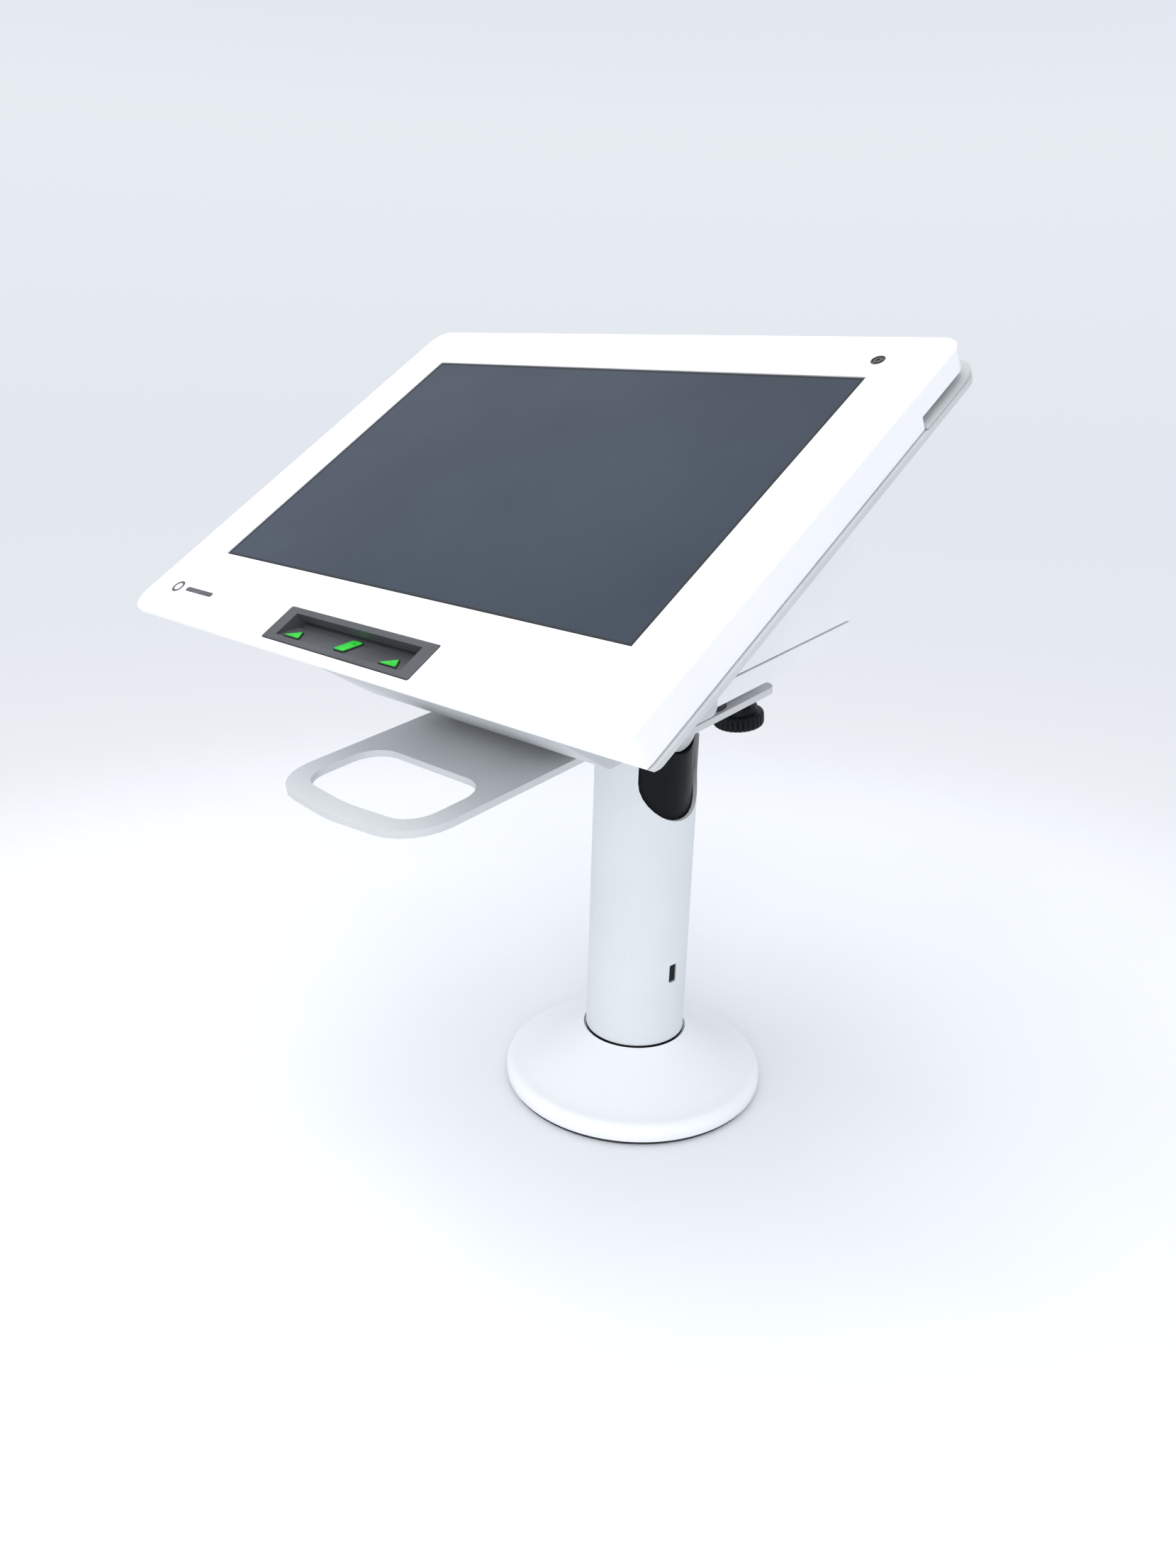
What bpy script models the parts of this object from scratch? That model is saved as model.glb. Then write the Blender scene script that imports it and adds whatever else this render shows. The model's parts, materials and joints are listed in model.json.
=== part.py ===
"""Countertop payment terminal: an 8 inch wedge terminal with a receipt printer, on a pole stand.

Metres, +Z up. The origin is on the pole's axis at the counter, and the screen faces -Y.
Three frames hold the pieces: the stand, the tilting head, and the screen's plane.
"""

import math

import bmesh
import bpy
from mathutils import Matrix, Vector

GAP = 0.0003                      # play between pieces that touch

# Stand
BASE_RADIUS = 0.0490
BASE_RIM_HEIGHT = 0.0068
BASE_PAD_THICKNESS = 0.0012
BASE_WALL = 0.0022
BASE_PLATE_RADIUS = 0.0440
BASE_PLATE_THICKNESS = 0.0030
CABLE_HOLE_RADIUS = 0.0045
CABLE_HOLE_Y = 0.0080              # off centre, towards the back
FIXING_RING = 0.0375
FIXING_RADIUS = 0.00225
POLE_RADIUS = 0.01865
POLE_WALL = 0.0015
POLE_BOTTOM = 0.0220
POLE_TOP = 0.1380
SPIGOT_WALL = 0.0020
SPIGOT_TOP = 0.0720
SPIGOT_FLANGE_RADIUS = 0.0290
SPIGOT_FLANGE_THICKNESS = 0.0025
SPIGOT_SCREW_RING = 0.0235
SPIGOT_SIDES = 40
CUTOUT_WIDTH = 0.0300
CUTOUT_HEIGHT = 0.0274
CUTOUT_BOTTOM = POLE_TOP - CUTOUT_HEIGHT
LATCH_AZIMUTH = math.radians(-4.3)
LATCH_WIDTH = 0.0036
LATCH_HEIGHT = 0.0072
LATCH_Z = 0.0503
LATCH_TRAVEL = 0.0022
COLLAR_HEIGHT = 0.0080
SLEEVE_INSERT = 0.0420
SLEEVE_BOTTOM = POLE_TOP - SLEEVE_INSERT
SLEEVE_BORE = 0.0060

# Tilting head
PIVOT_RISE = 0.0060                # the tilt pin, over the pole
PIVOT_HEIGHT = POLE_TOP + PIVOT_RISE
TILT = math.radians(8.2)
CHEEK_RADIUS = 0.0090
TONGUE_WIDTH = 0.0140
TONGUE_ROOT = 0.0240               # how far below the pin the tongue starts
WASHER_THICKNESS = 0.0010
CHEEK_WIDTH = 0.0064
PIN_RADIUS = 0.0025
NECK_LENGTH = 0.0200
FLANGE_THICKNESS = 0.0030
FLANGE_WIDTH = 0.0440
FLANGE_LENGTH = 0.0300
FLANGE_V = -0.0055
PLATE_SCREW_RADIUS = 0.0016
PLATE_SCREW_INSET = 0.0045
PLATE_TOP = 0.0184                # over the pivot, square to the plate
PLATE_THICKNESS = 0.0022
PLATE_HALF_WIDTH = 0.0470
PLATE_REAR = 0.0115
PLATE_REAR_CORNER = 0.0040
PLATE_SHOULDER = -0.0400
HANDLE_HALF_WIDTH = 0.0330
HANDLE_FRONT = -0.1345
HANDLE_CORNER = 0.0160
HOLE_REAR = -0.0975
HOLE_BAR = 0.0072
KNOB_X = 0.0375
KNOB_V = 0.0026
KNOB_RADIUS = 0.0085
KNOB_RIM = 0.0052
KNOB_HUB = 0.0055
STUD_RADIUS = 0.0025
FOOT_RADIUS = 0.0060

# Printer, in the tilting head's frame: v to the rear, w square to the plate
ROLL_RADIUS = 0.0200
ROLL_WIDTH = 0.0575
ROLL_CORE = 0.0062
ROLL_V = 0.0245
ROLL_W = 0.0560
LID_FRONT = 0.0030
LID_THICKNESS = 0.0022
LID_HEEL = 0.0034                  # how far the skirt reaches below the hinge
HINGE_V = 0.0470
HINGE_W = 0.0690
HINGE_PIN = 0.0015
HINGE_EAR = 0.0028
PLATEN_RADIUS = 0.0050
PLATEN_V = 0.0095
PLATEN_W = 0.0866
GEAR_WIDTH = 0.0030
GEAR_MODULE = 0.0007
PLATEN_TEETH = 18
IDLER_TEETH = 24
PINION_TEETH = 10
IDLER_ANGLE = math.radians(234.5)
PINION_ANGLE = math.radians(224.0)
PLATEN_SHAFT = 0.0020
IDLER_PIN = 0.0015
MOTOR_SHAFT = 0.0010
MOTOR_RADIUS = 0.0085
MOTOR_LENGTH = 0.0200
BAY_PLAY = 0.0012
BAY_CHEEK = 0.0018
BAY_FLOOR = 0.0012
PLATEN_EAR_WIDTH = 0.0020
PLATEN_EAR_PLAY = 0.00125
PLATEN_EAR_X = ROLL_WIDTH / 2 + PLATEN_EAR_PLAY + PLATEN_EAR_WIDTH / 2
BAY_HALF_WIDTH = ROLL_WIDTH / 2 + BAY_PLAY + BAY_CHEEK
GEAR_PLAY = 0.00065
GEAR_X = BAY_HALF_WIDTH + GEAR_PLAY + GEAR_WIDTH / 2
LID_PLAY = 0.0008
LID_HALF_WIDTH = GEAR_X + GEAR_WIDTH / 2 + LID_PLAY

# Terminal body
BODY_BOTTOM = 0.0228
BODY_SIDE = 0.0133                 # room for the lid key beside the lid
BODY_HALF_WIDTH = LID_HALF_WIDTH + BODY_SIDE
BODY_REAR = 0.0515
BODY_TOP = 0.0960
BODY_WALL = 0.0020
BODY_CORNER = 0.0080
TRAY_HEIGHT = 0.0069
TRAY_CORNER = 0.0062
POD_SIDE = 0.0035
POD_HALF_WIDTH = BODY_HALF_WIDTH + POD_SIDE
POD_FRONT_EDGE = -0.0768
POD_REAR = -0.0280

# Keys and sockets
PORT_DEPTH = 0.0100
PORT_WIDTH = 0.0320
PORT_HEIGHT = 0.0090
SOCKET_SIZE = (0.0080, 0.0060)
SOCKET_PITCH = 0.0100
PORT_AT = (-BODY_HALF_WIDTH, 0.0200, 0.0400)
BUTTON_SIZE = (0.0070, 0.0140, 0.0040)
BUTTON_RISE = 0.0008
BUTTON_PLAY = 0.0025
BUTTON_AT = (LID_HALF_WIDTH + BUTTON_PLAY + BUTTON_SIZE[0] / 2, 0.0260, BODY_TOP)
POWER_LENGTH = 0.0100
POWER_WIDTH = 0.0026
POWER_Y = 0.1180
POWER_DEPTH = 0.0052

# Screen panel, in its own plane: x across, y up the slope, z out of the face
FACE_FRONT = -0.1290
FACE_LOW = 0.0592
SCREEN_SLOPE = math.radians(25.2)
PANEL_WIDTH = 0.2104
PANEL_HEIGHT = 0.1575
PANEL_CORNER = 0.0062
PANEL_LOW_CORNER = 0.0082
CASING_DEPTH = 0.0103
CASING_WALL = 0.0020
UNDERCUT = 0.66                   # how fast the underside runs up the slope as it goes back
UNDERCUT_START = 0.0010
SCREEN_WIDTH = 0.1722
SCREEN_HEIGHT = 0.1076
SCREEN_BOTTOM = 0.0306
LIP_OVERHANG = 0.0008
LIP_RISE = 0.0045
LIP_CORNER = 0.0080
SHELL_THICKNESS = 0.0020
SLOT_BOTTOM = 0.1316
SLOT_NEAR = 0.0066
SLOT_WIDTH = 0.0025
TRIM_WIDTH = 0.0653
TRIM_HEIGHT = 0.0128
TRIM_BOTTOM = 0.0036
TRIM_BORDER_X = 0.0048
TRIM_BORDER_Y = 0.0020
CARD_SLOT_WIDTH = TRIM_WIDTH - 2 * TRIM_BORDER_X
CARD_THROAT = 0.0014
RAMP_START = 0.0003
RAMP_DEPTH = 0.0043
MARK_INSET = 0.00635
MARK_X = CARD_SLOT_WIDTH / 2 - MARK_INSET
MARK_THICKNESS = 0.0003
CAMERA_X = 0.0855
CAMERA_Y = 0.1463
LENS_RADIUS = 0.0017



def clear_scene():
    for old in list(bpy.data.objects):
        bpy.data.objects.remove(old, do_unlink=True)


def collection(name):
    made = bpy.data.collections.new(name)
    bpy.context.scene.collection.children.link(made)
    return made


def principled(name, colour, roughness, metallic=0.0):
    look = bpy.data.materials.new(name)
    look.use_nodes = True
    shader = look.node_tree.nodes["Principled BSDF"]
    shader.inputs["Base Color"].default_value = (*colour, 1.0)
    shader.inputs["Roughness"].default_value = roughness
    shader.inputs["Metallic"].default_value = metallic
    look.diffuse_color = (*colour, 1.0)
    return look


def frame(name, parent=None, location=(0, 0, 0), rotation=(0, 0, 0)):
    empty = bpy.data.objects.new(name, None)
    empty.location = location
    empty.rotation_euler = rotation
    empty.parent = parent
    PARTS.objects.link(empty)
    return empty


def place(name, mesh, parent, look, location):
    piece = bpy.data.objects.new(name, mesh)
    piece.parent = parent
    piece.location = location
    if look:
        mesh.materials.clear()
        mesh.materials.append(look)
        PARTS.objects.link(piece)
    else:
        piece.hide_render = True
        piece.display_type = "WIRE"
        CUTTERS.objects.link(piece)
    return piece


def piece(name, shape, parent, look, location=(0, 0, 0), smooth=30):
    """An object from a bmesh whose points are measured from location."""
    mesh = bpy.data.meshes.new(name)
    shape.to_mesh(mesh)
    shape.free()
    mesh.shade_smooth()
    mesh.set_sharp_from_angle(angle=math.radians(smooth))
    return place(name, mesh, parent, look, location)


def block(size, centre=(0, 0, 0), corner=0.0, axis=2, segments=4):
    """A box, with the four edges along one axis rounded."""
    shape = bmesh.new()
    place_it = Matrix.Translation(centre) @ Matrix.Diagonal((*size, 1.0))
    bmesh.ops.create_cube(shape, size=1.0, matrix=place_it)
    if corner:
        along = [e for e in shape.edges if abs((e.verts[1].co - e.verts[0].co).normalized()[axis]) > 0.99]
        bmesh.ops.bevel(shape, geom=along, offset=corner, segments=segments, affect="EDGES", profile=0.5)
    return shape


TURN = {"X": Matrix.Rotation(math.pi / 2, 4, "Y"), "Y": Matrix.Rotation(-math.pi / 2, 4, "X"), "Z": Matrix()}


def rod(radius, length, centre=(0, 0, 0), axis="Z", sides=32, top_radius=None):
    """A cylinder or a cone along one axis."""
    shape = bmesh.new()
    bmesh.ops.create_cone(
        shape, cap_ends=True, segments=sides, radius1=radius,
        radius2=radius if top_radius is None else top_radius, depth=length,
        matrix=Matrix.Translation(centre) @ TURN[axis],
    )
    return shape


def round_corners(corners, steps=4):
    """Outline points from (x, y, radius) corners, each radius swept as an arc."""
    points = []
    for i, (x, y, radius) in enumerate(corners):
        here = Vector((x, y))
        before = (Vector(corners[i - 1][:2]) - here).normalized()
        after = (Vector(corners[(i + 1) % len(corners)][:2]) - here).normalized()
        if not radius:
            points.append(here)
            continue
        half = before.angle(after) / 2
        centre = here + (before + after).normalized() * radius / math.sin(half)
        start = here + before * radius / math.tan(half) - centre
        end = here + after * radius / math.tan(half) - centre
        sweep = start.angle_signed(end)
        for step in range(steps + 1):
            turn = Matrix.Rotation(-sweep * step / steps, 2)
            points.append(centre + turn @ start)
    return points


def slab(outline, thickness, middle=0.0, side=False, holes=()):
    """A flat outline given thickness: in x, y, or with side set, an outline in y, z extruded along x."""
    curve = bpy.data.curves.new("outline", "CURVE")
    curve.dimensions = "2D"
    curve.fill_mode = "BOTH"
    curve.extrude = thickness / 2
    for points in (outline, *holes):
        spline = curve.splines.new("POLY")
        spline.points.add(len(points) - 1)
        for at, point in zip(spline.points, points):
            at.co = (*point, 0.0, 1.0)
        spline.use_cyclic_u = True
    drawn = bpy.data.objects.new("outline", curve)
    bpy.context.scene.collection.objects.link(drawn)
    mesh = bpy.data.meshes.new_from_object(drawn.evaluated_get(bpy.context.evaluated_depsgraph_get()))
    bpy.data.objects.remove(drawn)
    shape = bmesh.new()
    shape.from_mesh(mesh)
    bpy.data.meshes.remove(mesh)
    bmesh.ops.remove_doubles(shape, verts=shape.verts, dist=1e-6)
    if side:
        bmesh.ops.transform(shape, matrix=Matrix(((0, 0, 1, 0), (1, 0, 0, 0), (0, 1, 0, 0), (0, 0, 0, 1))),
                            verts=shape.verts)
        bmesh.ops.translate(shape, vec=(middle, 0, 0), verts=shape.verts)
    else:
        bmesh.ops.translate(shape, vec=(0, 0, middle), verts=shape.verts)
    return shape


def turned(name, profile, parent, look, location=(0, 0, 0), sides=48, axis="Z"):
    """A closed (radius, height) profile turned about an axis."""
    shape = bmesh.new()
    ring = [shape.verts.new((radius, 0, height)) for radius, height in profile]
    for first, second in zip(ring, ring[1:] + ring[:1]):
        shape.edges.new((first, second))
    made = piece(name, shape, parent, look, location)
    screw = made.modifiers.new("turn", "SCREW")
    screw.steps = screw.render_steps = sides
    screw.use_merge_vertices = True
    screw.merge_threshold = 1e-6
    screw.use_smooth_shade = True
    if axis == "X":
        made.rotation_euler = (0, math.pi / 2, 0)
    return made


def cut(target, *cutters, operation="DIFFERENCE"):
    for number, cutter in enumerate(cutters):
        boolean = target.modifiers.new(f"{operation.lower()} {number}", "BOOLEAN")
        boolean.operation = operation
        boolean.object = cutter
        boolean.solver = "EXACT"
    return target


def soften(target, width, segments=2, angle=40):
    bevel = target.modifiers.new("edges", "BEVEL")
    bevel.width = width
    bevel.segments = segments
    bevel.limit_method = "ANGLE"
    bevel.angle_limit = math.radians(angle)
    bevel.use_clamp_overlap = True
    return target


def cutter(name, shape, parent, location=(0, 0, 0)):
    return piece(name, shape, parent, None, location)


# ---------------------------------------------------------------- stand

def pole_inner():
    return POLE_RADIUS - POLE_WALL


def build_base():
    pad_top = BASE_PAD_THICKNESS
    pad_radius = BASE_RADIUS - 0.0012
    pad = piece("base_pad", rod(pad_radius, pad_top, (0, 0, pad_top / 2), sides=64), STAND, BLACK_RUBBER)
    plate_low = pad_top + GAP
    plate_high = plate_low + BASE_PLATE_THICKNESS
    plate = piece("base_plate", rod(BASE_PLATE_RADIUS, BASE_PLATE_THICKNESS,
                                    (0, 0, (plate_low + plate_high) / 2), sides=48), STAND, ZINC_STEEL)
    cable_hole = cutter("base_cable_hole", rod(CABLE_HOLE_RADIUS, 0.02, (0, CABLE_HOLE_Y, plate_low),
                                               sides=40), STAND)
    cut(plate, cable_hole)
    cut(pad, cable_hole)
    for turn in range(4):
        angle = math.radians(45 + 90 * turn)
        at = Vector((math.cos(angle), math.sin(angle), 0)) * FIXING_RING
        fixing = cutter(f"base_fixing_hole_{turn}", rod(FIXING_RADIUS, 0.02, sides=24), STAND, at)
        cut(plate, fixing)
        cut(pad, fixing)
    ring = POLE_RADIUS + 0.0007
    low = pad_top + GAP
    rim = BASE_RIM_HEIGHT
    rise = POLE_BOTTOM - rim
    reach = BASE_RADIUS - 0.0035 - ring
    steps = (0.0, 0.25, 0.5, 0.75, 1.0)
    flare = [(ring + reach * t, rim + 0.0012 + (rise - 0.0012) * (1 - t) ** 1.45) for t in steps]
    edge = [(BASE_RADIUS - 0.0035 + 0.0035 * math.sin(a), rim - 0.0023 + 0.0035 * math.cos(a))
            for a in (math.radians(step) for step in (20, 45, 70, 90))]
    inner = [(BASE_RADIUS - BASE_WALL, low), (BASE_RADIUS - BASE_WALL, rim - 0.0023)]
    inside = [(radius - 0.0004, height - BASE_WALL) for radius, height in reversed(flare[1:])]
    throat = ring + 0.0002
    profile = flare + edge + [(BASE_RADIUS, low)] + inner + inside + [(throat, POLE_BOTTOM - BASE_WALL)]
    turned("base_cover", profile, STAND, WHITE_SATIN, sides=56)


def build_spigot():
    flange_low = BASE_PAD_THICKNESS + BASE_PLATE_THICKNESS + 2 * GAP
    flange_high = flange_low + SPIGOT_FLANGE_THICKNESS
    outer = pole_inner() - GAP
    bore = outer - SPIGOT_WALL
    spigot = turned("pole_spigot", [
        (outer, SPIGOT_TOP), (outer, flange_high), (SPIGOT_FLANGE_RADIUS, flange_high),
        (SPIGOT_FLANGE_RADIUS, flange_low), (bore, flange_low), (bore, SPIGOT_TOP),
    ], STAND, ZINC_STEEL, sides=SPIGOT_SIDES)
    window = cutter("spigot_window", block((0.012, LATCH_WIDTH + 0.0012, LATCH_HEIGHT + 0.0012)), LATCH,
                    (outer, 0, LATCH_Z))
    cut(spigot, window)
    for number in range(3):
        angle = math.radians(60 + 120 * number)
        at = Vector((math.cos(angle) * SPIGOT_SCREW_RING, math.sin(angle) * SPIGOT_SCREW_RING, flange_high))
        head = rod(0.0026, 0.0018, (0, 0, GAP + 0.0009), sides=20)
        screw = piece(f"spigot_screw_{number + 1}", head, STAND, ZINC_STEEL, at)
        cut(screw, cutter(f"spigot_screw_drive_{number + 1}", rod(0.0012, 0.002, (0, 0, GAP + 0.0018),
                                                                  sides=6), STAND, at))


def build_latch():
    """The sprung tab that holds the pole on its spigot: it is pressed inwards through the pole's window."""
    outer = pole_inner() - GAP
    nose = block((0.0052, LATCH_WIDTH - 2 * GAP, LATCH_HEIGHT - 2 * GAP), (outer - 0.0012, 0, 0))
    tab = piece("latch_tab", nose, LATCH, BLACK_PLASTIC, (0, 0, LATCH_Z))
    half_heel = (LATCH_WIDTH + 0.0030) / 2
    bore = (outer - SPIGOT_WALL) * math.cos(math.pi / SPIGOT_SIDES)
    inner = math.sqrt(bore ** 2 - half_heel ** 2) - GAP
    heel = cutter("latch_heel", block((0.0016, LATCH_WIDTH + 0.0030, LATCH_HEIGHT + 0.0030),
                                      (inner - 0.0008, 0, 0)), LATCH, (0, 0, LATCH_Z))
    cut(tab, heel, operation="UNION")
    blade = block((0.0006, 0.0060, 0.0300), (inner - 0.0016 - LATCH_TRAVEL - 0.0010, 0, 0))
    piece("latch_spring", blade, LATCH, ZINC_STEEL, (0, 0, LATCH_Z - 0.0020))


def build_pole():
    bottom = POLE_BOTTOM + GAP
    pole = turned("pole", [(POLE_RADIUS, POLE_TOP), (POLE_RADIUS, bottom), (pole_inner(), bottom),
                           (pole_inner(), POLE_TOP)], STAND, WHITE_SATIN, sides=64)
    reach = POLE_RADIUS * 2
    radius = CUTOUT_WIDTH / 2
    arch = cutter("cutout_round", rod(radius, reach, (reach / 2, 0, 0), "X", 32), LATCH,
                  (0, 0, CUTOUT_BOTTOM + radius))
    tall = POLE_TOP - CUTOUT_BOTTOM
    slot = cutter("cutout_slot", block((reach, CUTOUT_WIDTH, tall), (reach / 2, 0, tall / 2)), LATCH,
                  (0, 0, CUTOUT_BOTTOM + radius))
    window = cutter("latch_window", block((0.010, LATCH_WIDTH, LATCH_HEIGHT), corner=0.0006, axis=0,
                                          segments=2),
                    LATCH, (POLE_RADIUS, 0, LATCH_Z))
    cut(pole, arch, slot, window)
    collar_top = SLEEVE_BOTTOM - GAP
    outer = pole_inner() - GAP
    turned("support_collar", [(outer, collar_top), (outer, collar_top - COLLAR_HEIGHT),
                              (outer - 0.0030, collar_top - COLLAR_HEIGHT), (outer - 0.0030, collar_top)],
           STAND, BLACK_PLASTIC, sides=40)


# ---------------------------------------------------------------- swivel and tilt

def build_swivel():
    outer = pole_inner() - GAP
    top = POLE_TOP + 0.0006
    sleeve = piece("swivel_sleeve", rod(outer, top - SLEEVE_BOTTOM, (0, 0, (top + SLEEVE_BOTTOM) / 2),
                                        sides=48),
                   SWIVEL, BLACK_PLASTIC)
    swing = CHEEK_RADIUS + 0.0006
    well = outer * 2
    trough = cutter("sleeve_trough", rod(swing, well * 1.2, (0, 0, 0), "X", 40), SWIVEL, (0, 0, PIVOT_HEIGHT))
    tongue_top = CHEEK_RADIUS
    upright = block((TONGUE_WIDTH, tongue_top * 2, TONGUE_ROOT), (0, 0, -TONGUE_ROOT / 2))
    tongue = cutter("sleeve_tongue", upright, SWIVEL, (0, 0, PIVOT_HEIGHT))
    eye = cutter("sleeve_eye", rod(tongue_top, TONGUE_WIDTH, axis="X", sides=40), SWIVEL,
                 (0, 0, PIVOT_HEIGHT))
    pin_hole = cutter("sleeve_pin_hole", rod(PIN_RADIUS + GAP, TONGUE_WIDTH * 2, axis="X", sides=24), SWIVEL,
                      (0, 0, PIVOT_HEIGHT))
    bore = cutter("sleeve_bore", rod(SLEEVE_BORE, 0.050, sides=24), SWIVEL, (0, 0, SLEEVE_BOTTOM))
    cut(sleeve, trough)
    cut(sleeve, tongue, eye, operation="UNION")
    cut(sleeve, pin_hole, bore)


def build_tilt_head():
    cheek_in = TONGUE_WIDTH / 2 + WASHER_THICKNESS + 2 * GAP
    cheek_out = cheek_in + CHEEK_WIDTH
    flange_top = PLATE_TOP - PLATE_THICKNESS - GAP
    flange_low = flange_top - FLANGE_THICKNESS
    neck = block((cheek_out * 2 - 0.0012, NECK_LENGTH, flange_top - CHEEK_RADIUS - 0.0006),
                 (0, 0, (flange_top + CHEEK_RADIUS + 0.0006) / 2), corner=0.0030)
    head = piece("tilt_head", neck, HEAD, GREY_SATIN)
    flange = cutter("head_flange", block((FLANGE_WIDTH, FLANGE_LENGTH, FLANGE_THICKNESS),
                                         (0, FLANGE_V, (flange_low + flange_top) / 2), corner=0.005), HEAD)
    cut(head, flange, operation="UNION")
    for side, label in ((1, "right"), (-1, "left")):
        middle = side * (cheek_in + cheek_out) / 2
        web = cutter(f"cheek_web_{label}", block((CHEEK_WIDTH - 0.0006, CHEEK_RADIUS * 2,
                                                  CHEEK_RADIUS + 0.002),
                                                 (middle, 0, (CHEEK_RADIUS + 0.002) / 2)), HEAD)
        eye = cutter(f"cheek_eye_{label}", rod(CHEEK_RADIUS, CHEEK_WIDTH, (middle, 0, 0), "X", 40), HEAD)
        cut(head, web, eye, operation="UNION")
        face = TONGUE_WIDTH / 2 + GAP
        turned(f"friction_washer_{label}", [
            (0.0070, WASHER_THICKNESS / 2), (0.0070, -WASHER_THICKNESS / 2),
            (PIN_RADIUS + GAP, -WASHER_THICKNESS / 2), (PIN_RADIUS + GAP, WASHER_THICKNESS / 2)],
            HEAD, STEEL, (side * (face + WASHER_THICKNESS / 2), 0, 0), sides=28, axis="X")
    cut(head, cutter("head_pin_hole", rod(PIN_RADIUS + GAP, cheek_out * 3, axis="X", sides=24), HEAD))
    pin_length = cheek_out * 2 - 0.0012
    pin = piece("tilt_pin", rod(PIN_RADIUS, pin_length, axis="X", sides=24), HEAD, STEEL)
    cut(pin, cutter("pin_hex_drive", rod(0.0013, 0.003, (cheek_out, 0, 0), "X", 6), HEAD))
    for number, (sx, sy) in enumerate(((1, 1), (-1, 1), (-1, -1), (1, -1)), 1):
        at = (sx * (FLANGE_WIDTH / 2 - PLATE_SCREW_INSET),
              FLANGE_V + sy * (FLANGE_LENGTH / 2 - PLATE_SCREW_INSET), 0)
        radius = PLATE_SCREW_RADIUS
        cut(head, cutter(f"flange_hole_{number}", rod(radius + GAP, 0.02, (0, 0, flange_low), sides=16),
                         HEAD, at))
        shank_top = PLATE_TOP - 0.0004
        head_low = flange_low - GAP - radius
        screw = piece(f"plate_screw_{number}", rod(radius * 1.75, radius, (0, 0, head_low + radius / 2),
                                                   sides=20), HEAD,
                      STEEL, at)
        shank = cutter(f"plate_screw_shank_{number}",
                       rod(radius, shank_top - head_low, (0, 0, (shank_top + head_low) / 2),
                           sides=16), HEAD, at)
        cut(screw, shank, operation="UNION")
        PLATE_HOLES.append(at)


def build_mount_plate():
    w = HANDLE_HALF_WIDTH
    wide = PLATE_HALF_WIDTH
    outline = round_corners([
        (-w, HANDLE_FRONT + 0.0022, HANDLE_CORNER), (0, HANDLE_FRONT - 0.0012, 0.060),
        (w, HANDLE_FRONT + 0.0022, HANDLE_CORNER),
        (w, PLATE_SHOULDER - 0.014, 0.008), (wide, PLATE_SHOULDER, 0.008),
        (wide, PLATE_REAR, PLATE_REAR_CORNER), (-wide, PLATE_REAR, PLATE_REAR_CORNER),
        (-wide, PLATE_SHOULDER, 0.008), (-w, PLATE_SHOULDER - 0.014, 0.008),
    ], 6)
    inside = w - HOLE_BAR
    hole = round_corners([
        (-inside, HANDLE_FRONT + HOLE_BAR + 0.0012, 0.0095), (0, HANDLE_FRONT + HOLE_BAR - 0.0012, 0.060),
        (inside, HANDLE_FRONT + HOLE_BAR + 0.0012, 0.0095),
        (inside, HOLE_REAR, 0.0095), (-inside, HOLE_REAR, 0.0095),
    ], 6)
    plate = piece("mount_plate", slab(outline, PLATE_THICKNESS, PLATE_TOP - PLATE_THICKNESS / 2,
                                      holes=(hole,)),
                  HEAD, GREY_SATIN)
    soften(plate, 0.0006, 2, 50)
    for number, at in enumerate(PLATE_HOLES):
        hole = rod(PLATE_SCREW_RADIUS + GAP, 0.01, (0, 0, PLATE_TOP), sides=16)
        cut(plate, cutter(f"plate_hole_{number}", hole, HEAD, at))
    for side, label in ((1, "right"), (-1, "left")):
        cut(plate, cutter(f"stud_hole_{label}", rod(STUD_RADIUS + GAP, 0.01, (0, 0, PLATE_TOP), sides=20),
                          HEAD,
                          (side * KNOB_X, KNOB_V, 0)))


def build_knobs():
    """Two thumb screws under the plate: each stud runs up through the plate into the terminal."""
    top = PLATE_TOP - PLATE_THICKNESS - GAP
    rim_top = top - KNOB_HUB
    low = rim_top - KNOB_RIM
    step = rim_top + KNOB_HUB * 0.4
    stud_top = BODY_BOTTOM + 0.0050
    r = KNOB_RADIUS
    for side, label in ((1, "right"), (-1, "left")):
        turned(f"thumb_knob_{label}", [
            (STUD_RADIUS, stud_top), (STUD_RADIUS, top), (r * 0.5, top), (r * 0.5, step), (r * 0.74, step),
            (r * 0.74, rim_top), (r - 0.0005, rim_top), (r, rim_top - 0.0005), (r, low + 0.0010),
            (r - 0.0010, low), (0.0010, low), (0.0010, stud_top)],
            HEAD, BLACK_PLASTIC, (side * KNOB_X, KNOB_V, 0), sides=36)
    for number, (x, v) in enumerate(((0.040, -0.0165), (-0.040, -0.0165), (0.040, -0.0600),
                                     (-0.040, -0.0600)), 1):
        x = x if v > PLATE_SHOULDER else math.copysign(0.026, x)
        low = PLATE_TOP + GAP
        high = BODY_BOTTOM - GAP
        piece(f"rubber_foot_{number}", rod(FOOT_RADIUS, high - low, (0, 0, (low + high) / 2), sides=28),
              HEAD, BLACK_RUBBER, (x, v, 0))


# ---------------------------------------------------------------- terminal body

def panel_back(w, depth):
    """How far to the rear the plane that lies depth behind the face is, at height w."""
    return FACE_FRONT + (w - FACE_LOW) / math.tan(SCREEN_SLOPE) + depth / math.sin(SCREEN_SLOPE)


def undercut_at(depth):
    """How far up the slope the panel's underside is, at a depth behind the face."""
    return max(0.0, depth - UNDERCUT_START) * UNDERCUT


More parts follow.
